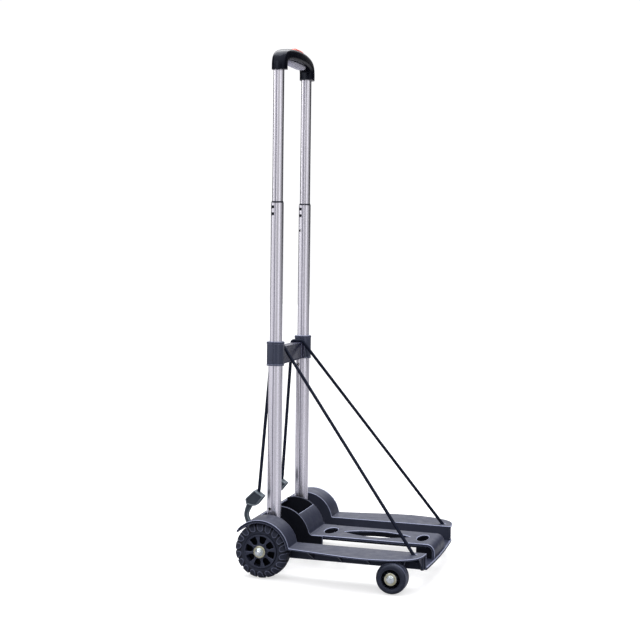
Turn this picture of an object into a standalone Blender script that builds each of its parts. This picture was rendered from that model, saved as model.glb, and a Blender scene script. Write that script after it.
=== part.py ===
"""Folding luggage cart: moulded platform on four wheels, three-stage telescopic handle, two elastic cords.

Metres, +Z up. The load goes on the -Y side, the handle stands over the rear axle, +Y is the rear.
Run with: blender --background --python part.py
"""
import math

import bmesh
import bpy
from mathutils import Matrix, Vector

# ---------------------------------------------------------------- driving dimensions
REAR_RADIUS = 0.0515           # rear tyre
NOSE_REACH = 0.3070            # front edge of the low bar, ahead of the rear axle
AXLE_Y = (NOSE_REACH - REAR_RADIUS) / 2.0     # the cart is centred on the origin
FRONT_RADIUS = 0.0285          # front tyre
FRONT_WHEEL_Y = -0.253         # front wheels, ahead of the rear axle
TUBE_X = 0.084                 # centre of each handle tube
DECK_TOP = 0.0626              # load surface
DECK_SKIN = 0.0032
FRAME_BOTTOM = 0.0323
DECK_FRONT = -0.302
SLOT_INNER = 0.0497            # a folded tube lies between these two
SLOT_OUTER = 0.1129
WALL = 0.0036
FOOT_Y = -0.0595               # where the wheel arches meet the deck
ARCH_Z = 0.0535                # centre height of every arch
ARCH_RADIUS = 0.0568           # wheel arches and rear skin
HUMP_RADIUS = 0.0602           # middle hump
ARCH_OUTER_X = 0.167
TAIL_ANGLE = 146.0             # arches measured from the front horizontal, over the top
CRADLE_ANGLE = 107.0           # the rear skin starts here, just behind the tubes
HUMP_OPENING_ANGLE = 52.0

HOLE_PITCH_Y = -0.2816         # cord holes
SHOULDER_Y = -0.0860           # the middle box is full depth behind this line
OVALS = ((0.0250, 0.0120, -0.0890), (0.0250, 0.0105, -0.2705))     # half width, half length, place
SLOT_HALF_X = 0.0245           # long pointed slot in the middle rail
SLOT_START = -0.1165
SLOT_END = -0.2455
SKIRT_DEPTH = 0.0120           # rims under the holes
SKIRT_WALL = 0.0022
CORD_HOLE_X = 0.131
CORD_RADIUS = 0.0027

TUBE_DEPTH = (0.0133, 0.0118, 0.0103)     # half depth (Y) of outer, middle and inner tube
TUBE_WIDTH = (0.0110, 0.0095, 0.0080)     # half width (X)
TUBE_WALL = 0.0011
TUBE_GROOVE_Y = 0.0016         # the groove down both flat sides
OUTER_BOTTOM = 0.0700
OUTER_TOP = 0.4320
MIDDLE_BOTTOM = 0.3740
MIDDLE_TOP = 0.6935
INNER_BOTTOM = 0.6400
INNER_TOP = 0.9600
PANEL_Y = (0.0072, 0.0066, 0.0058)   # centre line of the flat panel that holds rivets and lock pins

BRACE_BOTTOM = 0.3890
BRACE_TOP = 0.4343
BRIDGE_TOP = 0.4215
BRIDGE_FRONT = -0.0050
BRIDGE_REAR = 0.0130
GRIP_BOTTOM = 0.9398
GRIP_TOP = 0.9850
GRIP_BOW = 0.0040              # the middle of the grip stands this far forward
GRIP_Y = -0.0010

AXLE_RADIUS = 0.0040
RUNNING_GAP = 0.0003
UPPER_PIN_Z = 0.6430
LOWER_PIN_Z = 0.3780
HOOK_X = (-0.1220, 0.0130)
SOCKET_LEAD = (0.0, 0.0130, -0.0220)
SOCKET_MOUTH = (0.0174, 0.1543)
CORD_OVER_X = 0.060
MERGE = 0.00005
SIDES = (("l", -1.0), ("r", 1.0))

PARTS = "folding_luggage_cart"
CUTTERS = "cutters"


# ---------------------------------------------------------------- scene helpers
def clear_scene():
    for item in list(bpy.data.objects):
        bpy.data.objects.remove(item, do_unlink=True)
    for group in list(bpy.data.collections):
        bpy.data.collections.remove(group)


def collection(name):
    group = bpy.data.collections.get(name)
    if group is None:
        group = bpy.data.collections.new(name)
        bpy.context.scene.collection.children.link(group)
    return group


def material(name, colour, roughness, metallic=0.0):
    found = bpy.data.materials.get(name)
    if found:
        return found
    made = bpy.data.materials.new(name)
    made.use_nodes = True
    shader = made.node_tree.nodes["Principled BSDF"]
    shader.inputs["Base Color"].default_value = (*colour, 1.0)
    shader.inputs["Roughness"].default_value = roughness
    shader.inputs["Metallic"].default_value = metallic
    return made


def deck_plastic():
    return material("deck_plastic", (0.055, 0.058, 0.075), 0.55)


def gloss_plastic():
    return material("grip_plastic", (0.020, 0.021, 0.028), 0.25)


def slate_plastic():
    return material("slate_plastic", (0.060, 0.070, 0.085), 0.40)


def rubber():
    return material("tyre_rubber", (0.030, 0.032, 0.040), 0.70)


def aluminium():
    return material("tube_aluminium", (0.640, 0.620, 0.690), 0.35, 1.0)


def zinc():
    return material("zinc_steel", (0.700, 0.690, 0.600), 0.30, 1.0)


def cord_black():
    return material("cord_sheath", (0.018, 0.018, 0.024), 0.75)


def pale_plastic():
    return material("insert_plastic", (0.600, 0.590, 0.680), 0.45)


def button_orange():
    return material("button_plastic", (0.850, 0.110, 0.020), 0.35)


def empty(name, parent=None, location=(0.0, 0.0, 0.0)):
    made = bpy.data.objects.new(name, None)
    made.empty_display_size = 0.03
    made.parent = parent
    made.location = location
    collection(PARTS).objects.link(made)
    return made


def finish(piece, name, finish_material, pivot, smooth=None):
    """Name a piece, give it its material and hang it on its pivot without moving it."""
    piece.name = name
    piece.data.name = name
    piece.data.materials.clear()
    piece.data.materials.append(finish_material)
    if smooth is not None:
        piece.data.shade_smooth()
        piece.data.set_sharp_from_angle(angle=math.radians(smooth))
    piece.parent = pivot
    piece.matrix_parent_inverse = Matrix.Translation(-Vector(pivot["home"]))
    return piece


def pivot_at(name, home, origin):
    """An empty at a joint; home is its place measured from the rear axle line on the floor."""
    made = empty(name, origin, home)
    made["home"] = home
    return made


def to_group(piece, group_name):
    for group in list(piece.users_collection):
        group.objects.unlink(piece)
    collection(group_name).objects.link(piece)


def as_cutter(piece):
    to_group(piece, CUTTERS)
    piece.hide_render = True
    piece.display_type = "WIRE"
    return piece


def add_boolean(piece, other, operation="DIFFERENCE"):
    modifier = piece.modifiers.new(operation.lower(), "BOOLEAN")
    modifier.operation = operation
    modifier.solver = "EXACT"
    modifier.object = as_cutter(other)
    return modifier


def cut(piece, *others):
    for other in others:
        add_boolean(piece, other)
    return piece


def join(piece, *others):
    for other in others:
        add_boolean(piece, other, "UNION")
    return piece


def bake(piece):
    """Replace an object's mesh with its evaluated mesh and drop the modifiers."""
    graph = bpy.context.evaluated_depsgraph_get()
    mesh = bpy.data.meshes.new_from_object(piece.evaluated_get(graph))
    piece.modifiers.clear()
    piece.data = mesh
    return piece


# ---------------------------------------------------------------- shape helpers
def curve_to_mesh(curve_object):
    graph = bpy.context.evaluated_depsgraph_get()
    mesh = bpy.data.meshes.new_from_object(curve_object.evaluated_get(graph))
    made = bpy.data.objects.new(curve_object.name, mesh)
    made.matrix_world = curve_object.matrix_world
    collection(PARTS).objects.link(made)
    bpy.data.objects.remove(curve_object, do_unlink=True)
    work = bmesh.new()
    work.from_mesh(mesh)
    bmesh.ops.remove_doubles(work, verts=work.verts, dist=MERGE)
    bmesh.ops.recalc_face_normals(work, faces=work.faces)
    work.to_mesh(mesh)
    work.free()
    return made


AXIS_TURN = {
    "X": Matrix(((0, 0, 1, 0), (1, 0, 0, 0), (0, 1, 0, 0), (0, 0, 0, 1))),
    "Y": Matrix(((1, 0, 0, 0), (0, 0, -1, 0), (0, 1, 0, 0), (0, 0, 0, 1))),
    "Z": Matrix.Identity(4),
}


def plate(name, outlines, low, high, axis="Z"):
    """A flat outline (first the rim, then any holes) between two planes.

    Outline points are (y, z) for axis X, (x, z) for axis Y and (x, y) for axis Z.
    """
    curve = bpy.data.curves.new(name, "CURVE")
    curve.dimensions = "2D"
    curve.fill_mode = "BOTH"
    curve.extrude = (high - low) / 2.0
    for outline in outlines:
        spline = curve.splines.new("POLY")
        spline.points.add(len(outline) - 1)
        for point, (u, v) in zip(spline.points, outline):
            point.co = (u, v, 0.0, 1.0)
        spline.use_cyclic_u = True
    made = bpy.data.objects.new(name, curve)
    collection(PARTS).objects.link(made)
    bpy.context.view_layer.update()
    made = curve_to_mesh(made)
    made.data.transform(AXIS_TURN[axis])
    offset = {"X": (1, 0, 0), "Y": (0, 1, 0), "Z": (0, 0, 1)}[axis]
    made.data.transform(Matrix.Translation(Vector(offset) * (low + high) / 2.0))
    return made


def turned(name, profile, centre, axis="X", steps=32, closed=False):
    """A profile of (radius, height) turned about an axis; heights run from high to low along it."""
    mesh = bpy.data.meshes.new(name)
    work = bmesh.new()
    points = [work.verts.new((radius, 0.0, height)) for radius, height in profile]
    pairs = list(zip(points, points[1:]))
    if closed:
        pairs.append((points[-1], points[0]))
    for first, second in pairs:
        work.edges.new((first, second))
    work.to_mesh(mesh)
    work.free()
    made = bpy.data.objects.new(name, mesh)
    collection(PARTS).objects.link(made)
    screw = made.modifiers.new("turn", "SCREW")
    screw.axis = "Z"
    screw.steps = steps
    screw.render_steps = steps
    screw.use_merge_vertices = True
    screw.merge_threshold = MERGE
    bpy.context.view_layer.update()
    bake(made)
    work = bmesh.new()
    work.from_mesh(made.data)
    bmesh.ops.remove_doubles(work, verts=work.verts, dist=MERGE)
    bmesh.ops.recalc_face_normals(work, faces=work.faces)
    work.to_mesh(made.data)
    work.free()
    if axis != "Z":
        made.data.transform(AXIS_TURN[axis])
    made.data.transform(Matrix.Translation(Vector(centre)))
    return made


def box(name, low, high):
    mesh = bpy.data.meshes.new(name)
    work = bmesh.new()
    size = Vector(high) - Vector(low)
    middle = (Vector(high) + Vector(low)) / 2.0
    matrix = Matrix.Translation(middle) @ Matrix.Diagonal((*size, 1.0))
    bmesh.ops.create_cube(work, size=1.0, matrix=matrix)
    work.to_mesh(mesh)
    work.free()
    made = bpy.data.objects.new(name, mesh)
    collection(PARTS).objects.link(made)
    return made


def rod(name, start, end, radius, segments=16):
    """A plain cylinder between two points."""
    start, end = Vector(start), Vector(end)
    run = end - start
    matrix = Matrix.Translation((start + end) / 2.0) @ run.to_track_quat("Z", "Y").to_matrix().to_4x4()
    mesh = bpy.data.meshes.new(name)
    work = bmesh.new()
    bmesh.ops.create_cone(work, cap_ends=True, cap_tris=False, segments=segments,
                          radius1=radius, radius2=radius, depth=run.length, matrix=matrix)
    work.to_mesh(mesh)
    work.free()
    made = bpy.data.objects.new(name, mesh)
    collection(PARTS).objects.link(made)
    return made


def mirrored(points):
    """Close an outline whose points run along the +X half, from the front to the rear."""
    return points + [(-x, y) for x, y in reversed(points) if abs(x) > 1e-9]


def arc(radius, start, end, steps, centre=(0.0, 0.0)):
    angles = [math.radians(start + (end - start) * i / steps) for i in range(steps + 1)]
    return [(centre[0] + radius * math.cos(a), centre[1] + radius * math.sin(a)) for a in angles]


def arch(radius, start, end, steps):
    """Arch points (y, z); the angle runs from the front horizontal over the top."""
    return arc(radius, 180.0 - start, 180.0 - end, steps, (0.0, ARCH_Z))


def arch_band(inner, outer, start, end, steps):
    return arch(outer, start, end, steps) + arch(inner, end, start, steps)


def ellipse(half_x, half_y, centre, steps=24):
    turn = [2.0 * math.pi * i / steps for i in range(steps)]
    return [(centre[0] + half_x * math.cos(t), centre[1] + half_y * math.sin(t)) for t in turn]


def tube_outline(width, depth, centre_x=0.0):
    """The handle tubes' section: rounded front, flat sides with a groove, square rear."""
    groove = min(0.0008, width * 0.1)
    front_start = TUBE_GROOVE_Y - 0.0013
    reach = depth + front_start
    half = []
    for i in range(7):
        t = math.radians(15.0 * i)
        half.append((width * math.sin(t), front_start - reach * math.cos(t)))
    half.append((width - groove, TUBE_GROOVE_Y))
    half.append((width - 0.0003, TUBE_GROOVE_Y + 0.0013))
    corner = 0.0035
    side = width - 0.0003
    half += arc(corner, 0.0, 90.0, 4, (side - corner, depth - corner))
    half.append((0.0, depth))
    return [(centre_x + x, y) for x, y in mirrored(half)]


def tube(name, stage, side, low, high):
    """One hollow tube of the handle."""
    x = side * TUBE_X
    outer = tube_outline(TUBE_WIDTH[stage], TUBE_DEPTH[stage], x)
    inner = tube_outline(TUBE_WIDTH[stage] - TUBE_WALL, TUBE_DEPTH[stage] - TUBE_WALL, x)
    return plate(name, [outer, inner], low, high)


def panel_hole(side, face, z, radius, stage):
    """A cutter through one flat wall of a tube; face is the wall's X direction."""
    middle = side * TUBE_X + face * (TUBE_WIDTH[stage] - TUBE_WALL / 2.0)
    reach = 0.0030
    ends = [(middle + way * reach, PANEL_Y[stage], z) for way in (-1.0, 1.0)]
    return rod("panel_hole", *ends, radius, 12)


# ---------------------------------------------------------------- platform
def deck_side_plate():
    """Top plate of one side rail: widens ahead of the arch, then rounds in at the front."""
    outline = [(SLOT_OUTER, FOOT_Y + 0.012), (SLOT_OUTER, DECK_FRONT + 0.0015), (0.1145, DECK_FRONT)]
    outline += [(0.1330, -0.3010), (0.1480, -0.2975), (0.1600, -0.2910), (0.1690, -0.2815)]
    outline += [(0.1770, -0.2680), (0.1840, -0.2480), (0.1890, -0.2200), (0.1890, -0.1900)]
    outline += [(0.1850, -0.1550), (0.1780, -0.1180), (0.1710, -0.0820), (ARCH_OUTER_X, FOOT_Y)]
    outline += [(ARCH_OUTER_X, FOOT_Y + 0.004), (0.140, FOOT_Y + 0.006)]
    return plate("deck_frame", [outline], DECK_TOP - DECK_SKIN, DECK_TOP)


def deck_walls():
    """Upright walls: beside each tube slot, and both sides of the middle box."""
    outer = [(DECK_FRONT, FRAME_BOTTOM), (DECK_FRONT, DECK_TOP), (FOOT_Y + 0.002, DECK_TOP)]
    outer += arch(ARCH_RADIUS, 12.0, TAIL_ANGLE, 27) + [(0.036, 0.060), (0.036, FRAME_BOTTOM)]
    middle = [(SHOULDER_Y, FRAME_BOTTOM + 0.012), (SHOULDER_Y, DECK_TOP), (FOOT_Y, DECK_TOP)]
    middle += arch(HUMP_RADIUS, 9.0, CRADLE_ANGLE, 20)
    middle += arch(ARCH_RADIUS, CRADLE_ANGLE + 1.0, TAIL_ANGLE, 8)
    middle += [(0.036, 0.060), (0.036, FRAME_BOTTOM), (SHOULDER_Y + 0.005, FRAME_BOTTOM)]
    wall_low = SLOT_OUTER
    return [plate("outer_wall", [outer], wall_low, wall_low + WALL, "X"),
            plate("middle_wall", [middle], SLOT_INNER - WALL, SLOT_INNER, "X")]


def deck_arches():
    """Wheel arch, the rear skin behind the tubes, and the front skin of the middle hump."""
    skin = 0.0030
    over_wheel = arch_band(ARCH_RADIUS - skin, ARCH_RADIUS, 6.0, TAIL_ANGLE, 28)
    rear = arch_band(ARCH_RADIUS - skin, ARCH_RADIUS, CRADLE_ANGLE, TAIL_ANGLE, 8)
    hump = arch_band(HUMP_RADIUS - skin, HUMP_RADIUS, 6.0, HUMP_OPENING_ANGLE, 9)
    return [plate("wheel_arch", [over_wheel], SLOT_OUTER + 0.001, ARCH_OUTER_X, "X"),
            plate("rear_skin", [rear], -0.010, SLOT_OUTER + 0.002, "X"),
            plate("hump_skin", [hump], -0.010, SLOT_INNER - 0.001, "X")]


def middle_rail():
    """Narrow rail between the slots, bending down at the front into the low front bar."""
    front = DECK_FRONT - 0.001
    bend = 0.0150
    skin = 0.0050
    top = [(FOOT_Y + 0.003, DECK_TOP), (front + bend, DECK_TOP)]
    outside = arc(bend, 90.0, 180.0, 6, (front + bend, DECK_TOP - bend))
    inside = arc(bend - skin, 180.0, 90.0, 6, (front + bend, DECK_TOP - bend))
    outline = top[:1] + outside + [(front, FRAME_BOTTOM), (front + skin, FRAME_BOTTOM)] + inside
    outline += [(FOOT_Y + 0.003, DECK_TOP - skin)]
    rail = plate("middle_rail", [outline], -0.010, 0.0475, "X")
    edge = [(front + bend, DECK_TOP - 0.0080), (front + bend, DECK_TOP - 0.001)]
    edge += [(FOOT_Y + 0.001, DECK_TOP - 0.001), (FOOT_Y + 0.001, DECK_TOP - 0.0080)]
    flange = plate("rail_flange", [edge], 0.0475 - WALL, 0.0474, "X")
    shoulder = box("rail_shoulder", (-0.010, SHOULDER_Y, DECK_TOP - skin),
                   (SLOT_INNER - 0.0005, FOOT_Y, DECK_TOP))
    web_outline = [(front + 0.004, FRAME_BOTTOM + 0.001), (front + 0.004, DECK_TOP - 0.016)]
    web_outline += [(front + 0.012, DECK_TOP - 0.004), (front + 0.036, DECK_TOP - 0.004)]
    web_outline += [(front + 0.036, FRAME_BOTTOM + 0.001)]
    web = plate("front_web", [web_outline], 0.0405, 0.0438, "X")
    return [rail, flange, shoulder, web] + hole_skirts()


def hole_skirts():
    """Deep rims under the edges of the oval holes and the long slot."""
    low, high = DECK_TOP - SKIRT_DEPTH, DECK_TOP - 0.003
    outlines = [ellipse(half_x + SKIRT_WALL, half_y + SKIRT_WALL, (0.0, y)) for half_x, half_y, y in OVALS]
    outlines.append(lens(SLOT_HALF_X + SKIRT_WALL, SLOT_START + 0.003, SLOT_END - 0.003))
    return [plate("hole_skirt", [outline], low, high) for outline in outlines]


def front_bar():
    """Low bar that ties the rails together at the front, under the folded tubes."""
    bow = 0.0035
    front = [(x, DECK_FRONT - 0.0015 - bow * (1.0 - (x / 0.116) ** 2)) for x in
             (-0.010, 0.0, 0.020, 0.040, 0.060, 0.080, 0.100, SLOT_OUTER + 0.001)]
    floor = front + [(SLOT_OUTER + 0.001, DECK_FRONT + 0.020), (-0.010, DECK_FRONT + 0.020)]
    lip = front + [(x, y + 0.0030) for x, y in reversed(front)]
    return [plate("bar_floor", [floor], FRAME_BOTTOM, FRAME_BOTTOM + 0.0026),
            plate("bar_lip", [lip], FRAME_BOTTOM, FRAME_BOTTOM + 0.0052)]


def under_structure():
    """Rear floor, gusset ribs, the front wheel's lug and the rib under each cord hole."""
    wall_out = SLOT_OUTER + WALL - 0.0004
    under = DECK_TOP - DECK_SKIN + 0.0004
    pieces = [box("rear_floor", (-0.010, 0.0080, FRAME_BOTTOM),
                  (SLOT_OUTER + 0.001, 0.0355, FRAME_BOTTOM + 0.003))]
    for y in (-0.089, -0.143, -0.196):
        rib = [(wall_out, FRAME_BOTTOM + 0.002), (wall_out, under), (0.162, under), (0.150, under - 0.008)]
        pieces.append(plate("gusset", [rib], y - 0.0011, y + 0.0011, "Y"))
    lug = [(FRONT_WHEEL_Y - 0.020, under), (FRONT_WHEEL_Y - 0.012, FRONT_RADIUS)]
    lug += arc(0.0120, 180.0, 360.0, 10, (FRONT_WHEEL_Y, FRONT_RADIUS))[1:]
    lug += [(FRONT_WHEEL_Y + 0.020, under)]
    pieces.append(plate("wheel_lug", [lug], 0.1460, 0.1520, "X"))
    brace = [(wall_out, FRAME_BOTTOM + 0.002), (wall_out, under)]
    brace += [(0.147, under), (0.147, FRAME_BOTTOM + 0.010)]
    pieces.append(plate("lug_brace", [brace], FRONT_WHEEL_Y - 0.0015, FRONT_WHEEL_Y + 0.0015, "Y"))
    end_rib = [(wall_out, FRAME_BOTTOM + 0.001), (wall_out, under), (0.150, under), (0.142, under - 0.006)]
    pieces.append(plate("end_rib", [end_rib], DECK_FRONT + 0.006, DECK_FRONT + 0.008, "Y"))
    axle_boss = [(SLOT_OUTER + reach, 0.0, REAR_RADIUS) for reach in (0.001, 0.0070)]
    pieces.append(rod("axle_boss", *axle_boss, 0.0105, 24))
    screw_boss = [(0.1215, -0.2960, z) for z in (FRAME_BOTTOM + 0.0006, DECK_TOP - 0.0026)]
    pieces.append(rod("screw_boss", *screw_boss, 0.0035, 12))
    return pieces


def lens(half_x, start, end, steps=10):
    """A pointed slot along Y with its widest point half way."""
    side = []
    for i in range(steps + 1):
        along = i / steps
        side.append((half_x * math.sin(math.pi * along) ** 0.75, start + (end - start) * along))
    return side + [(-x, y) for x, y in reversed(side[1:-1])]


def tail_slot(x_low, x_high):
    """Cutter for a hook slot through the rear skin, near the tail."""
    inner, outer = ARCH_RADIUS - 0.010, ARCH_RADIUS + 0.010
    return plate("tail_slot", [arch_band(inner, outer, 122.0, 139.0, 4)], x_low, x_high, "X")


def deck_cutters():
    middle = DECK_TOP - 0.020
    over = DECK_TOP + 0.010
    cord_hole = ellipse(0.0042, 0.0058, (CORD_HOLE_X, HOLE_PITCH_Y - 0.0010), 16)
    bolt_hole = [(x, FRONT_WHEEL_Y, FRONT_RADIUS) for x in (0.14, 0.16)]
    holes = [plate("oval", [ellipse(half_x, half_y, (0.0, y))], middle, over)
             for half_x, half_y, y in OVALS]
    holes += [plate("lens_slot", [lens(SLOT_HALF_X, SLOT_START, SLOT_END)], middle, over),
             plate("cord_hole", [cord_hole], middle, over),
             rod("axle_hole", (-0.01, 0.0, REAR_RADIUS), (0.2, 0.0, REAR_RADIUS), AXLE_RADIUS + 0.0004, 24),
             rod("bolt_hole", *bolt_hole, 0.0034, 16),
             tail_slot(0.1166, 0.1600),
             tail_slot(-0.0100, 0.0260)]
    return holes


def deck_frame(pivot):
    """The one-piece moulded platform, modelled on its +X half and mirrored."""
    deck = deck_side_plate()
    join(deck, *deck_walls(), *deck_arches(), *middle_rail(), *front_bar(), *under_structure())
    cut(deck, *deck_cutters())
    bpy.context.view_layer.update()
    bake(deck)
    mirror = deck.modifiers.new("both_sides", "MIRROR")
    mirror.use_axis[0] = True
    mirror.use_bisect_axis[0] = True
    mirror.use_bisect_flip_axis[0] = False
    mirror.merge_threshold = MERGE
    return finish(deck, "deck_frame", deck_plastic(), pivot, 35.0)


# ---------------------------------------------------------------- wheels
def rear_wheel(tag, side, pivot):
    """Rear tyre on a hub with eight windows; the turned profiles run from outboard to inboard."""
    centre = (0.0, 0.0, REAR_RADIUS)
    out, shoulder, inner = 0.1610, 0.1560, 0.1290
    rim = 0.0318
    profile = [(rim, out), (0.0400, out + 0.0015), (0.0465, out - 0.0010), (0.0500, shoulder),
               (REAR_RADIUS, 0.1500), (REAR_RADIUS, 0.1400), (0.0500, 0.1340), (0.0465, inner),
               (0.0400, inner - 0.0015), (rim, inner)]
    tyre = turned("rear_tyre", profile, centre, steps=48, closed=True)
    hub_profile = [(AXLE_RADIUS + RUNNING_GAP, 0.1655), (0.0125, 0.1655), (0.0130, 0.1632), (0.0290, 0.1625),
                   (rim - 0.0003, 0.1610), (rim - 0.0003, 0.1292), (0.0285, 0.1292), (0.0285, 0.1560),
                   (0.0120, 0.1560), (0.0110, 0.1205), (AXLE_RADIUS + RUNNING_GAP, 0.1205)]
    hub = turned("rear_hub", hub_profile, centre, steps=48, closed=True)
    for i in range(8):
        hub_window(hub, i)
    for piece, name, look in ((tyre, "rear_tyre_", rubber()), (hub, "rear_hub_", deck_plastic())):
        bpy.context.view_layer.update()
        bake(piece)
        flip_side(piece, side)
        finish(piece, name + tag, look, pivot, 40.0)


def hub_window(hub, index):
    """One D-shaped window: flat edge towards the rim, round edge towards the washer."""
    low, high, half = 0.0165, 0.0268, 0.0062
    outline = [(-half * 0.98, high - 0.0008), (-half * 0.86, 0.0222)]
    outline += arc(half * 0.80, 190.0, 350.0, 6, (0.0, low + half * 0.80))
    outline += [(half * 0.86, 0.0222), (half * 0.98, high - 0.0008), (half * 0.5, high), (-half * 0.5, high)]
    window = plate("window", [outline[::-1]], 0.150, 0.170, "X")
    turn = Matrix.Rotation(math.radians(45.0 * index + 12.0), 4, "X")
    window.data.transform(Matrix.Translation((0.0, 0.0, REAR_RADIUS)) @ turn)
    cut(hub, window)


def front_wheel(tag, side, pivot):
    """Front wheel: grooved tyre on a hub with a recessed ring of twelve spokes."""
    centre = (0.0, FRONT_WHEEL_Y, FRONT_RADIUS)
    rim = 0.0186
    radius = FRONT_RADIUS
    profile = [(rim, 0.1852), (0.0225, 0.1860), (0.0262, 0.1840), (0.0280, 0.1805), (radius, 0.1770),
               (0.0280, 0.1742), (0.0262, 0.1731), (0.0280, 0.1720), (radius, 0.1690), (0.0280, 0.1655),
               (0.0262, 0.1622), (0.0225, 0.1604), (rim, 0.1610)]
    tyre = turned("front_tyre", profile, centre, steps=40, closed=True)
    bore = 0.0030 + RUNNING_GAP
    hub_profile = [(bore, 0.1850), (0.0118, 0.1850), (0.0121, 0.1810), (0.0180, 0.1800), (0.0182, 0.1850),
                   (rim - 0.0003, 0.1852), (rim - 0.0003, 0.1612), (0.0165, 0.1612), (0.0160, 0.1740),
                   (0.0100, 0.1740), (0.0090, 0.1526), (bore, 0.1526)]
    hub = turned("front_hub", hub_profile, centre, steps=40, closed=True)
    bpy.context.view_layer.update()
    for piece, name, look in ((tyre, "front_tyre_", rubber()), (hub, "front_hub_", gloss_plastic())):
        flip_side(piece, side)
        finish(piece, name + tag, look, pivot, 40.0)


def flip_side(piece, side):
    """Mirror a piece that was modelled at +X to the -X side, keeping its faces outward."""
    if side < 0.0:
        piece.data.transform(Matrix.Diagonal((-1.0, 1.0, 1.0, 1.0)))
        piece.data.flip_normals()


def fastener(name, side, centre, radii, spans, pivot, steps=24):
    """A washer, nut or bolt turned about X from (radius, outboard face, inboard face) steps."""
    piece = turned(name, [(r, h) for r, h in zip(radii, spans)], centre, steps=steps, closed=True)
    flip_side(piece, side)
    return finish(piece, name, zinc(), pivot, 40.0)


def hex_outline(across, centre):
    corner = across / math.sqrt(3.0)
    return arc(corner, 0.0, 300.0, 5, centre)


def wheel_fasteners(tag, side, pivot):
    """Axle nut and washer at the rear; bolt, washer and nut at the front."""
    rear = (0.0, 0.0, REAR_RADIUS)
    hole = AXLE_RADIUS + RUNNING_GAP
    washer_radii = (hole, 0.0112, 0.0112, hole)
    fastener("rear_washer_" + tag, side, rear, washer_radii, (0.1672, 0.1672, 0.1658, 0.1658), pivot)
    centre = (0.0, REAR_RADIUS)
    outlines = [hex_outline(0.0130, centre), ellipse(hole, hole, centre, 16)]
    nut = plate("rear_nut", outlines, 0.1675, 0.1735, "X")
    flip_side(nut, side)
    finish(nut, "rear_nut_" + tag, zinc(), pivot)
    front = (0.0, FRONT_WHEEL_Y, FRONT_RADIUS)
    hole = 0.0030 + RUNNING_GAP
    washer_radii = (hole, 0.0112, 0.0112, hole)
    fastener("front_washer_" + tag, side, front, washer_radii, (0.1867, 0.1867, 0.1853, 0.1853), pivot)
    bolt_profile = [(0.0, 0.1915), (0.0048, 0.1915), (0.0060, 0.1905), (0.0060, 0.1870), (0.0030, 0.1870),
                    (0.0030, 0.1370), (0.0, 0.1370)]
    bolt = turned("front_bolt", bolt_profile, front, steps=24)
    flip_side(bolt, side)
    finish(bolt, "front_bolt_" + tag, zinc(), pivot, 40.0)
    centre = (FRONT_WHEEL_Y, FRONT_RADIUS)
    outlines = [hex_outline(0.0100, centre), ellipse(hole, hole, centre, 16)]
    nut = plate("front_nut", outlines, 0.1405, 0.1455, "X")
    flip_side(nut, side)
    finish(nut, "front_nut_" + tag, zinc(), pivot)


def rear_axle(pivot):
    axle = rod("rear_axle", (-0.1760, 0.0, REAR_RADIUS), (0.1760, 0.0, REAR_RADIUS), AXLE_RADIUS, 24)
    finish(axle, "rear_axle", zinc(), pivot, 40.0)


# ---------------------------------------------------------------- handle
def tube_foot(tag, side, pivot):
    """Plastic foot plugged into the outer tube; it turns on the axle when the handle folds."""
    x = side * TUBE_X
    fit = TUBE_WALL + 0.0003
    outline = tube_outline(TUBE_WIDTH[0] - fit, TUBE_DEPTH[0] - fit, x)
    plug = plate("tube_foot", [outline], REAR_RADIUS, 0.1050)
    eye = rod("eye", (x - 0.0096, 0.0, REAR_RADIUS), (x + 0.0096, 0.0, REAR_RADIUS), 0.0119, 32)
    join(plug, eye)
    bore = [(x + reach, 0.0, REAR_RADIUS) for reach in (-0.02, 0.02)]
    cut(plug, rod("bore", *bore, AXLE_RADIUS + RUNNING_GAP, 24))
    bpy.context.view_layer.update()
    bake(plug)
    finish(plug, "tube_foot_" + tag, gloss_plastic(), pivot, 35.0)


def handle_tubes(tag, side, pivots):
    outer = tube("outer_tube", 0, side, OUTER_BOTTOM, OUTER_TOP)
    cut(outer, panel_hole(side, side, 0.1180, 0.0024, 0), panel_hole(side, -side, LOWER_PIN_Z, 0.0027, 0))
    middle = tube("middle_tube", 1, side, MIDDLE_BOTTOM, MIDDLE_TOP)
    cut(middle, panel_hole(side, -side, UPPER_PIN_Z, 0.0027, 1))
    cut(middle, panel_hole(side, -side, LOWER_PIN_Z, 0.0027, 1))
    inner = tube("inner_tube", 2, side, INNER_BOTTOM, INNER_TOP)
    cut(inner, panel_hole(side, -side, UPPER_PIN_Z, 0.0027, 2))
    for z in (0.6860, 0.6730):
        cut(middle, panel_hole(side, side, z, 0.0020, 1), panel_hole(side, -side, z, 0.0020, 1))
    for piece, name, pivot in ((outer, "outer_tube_", pivots["handle"]),
                               (middle, "middle_tube_", pivots["middle"]),
                               (inner, "inner_tube_", pivots["inner"])):
        bpy.context.view_layer.update()
        bake(piece)
        finish(piece, name + tag, aluminium(), pivot, 30.0)


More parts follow.
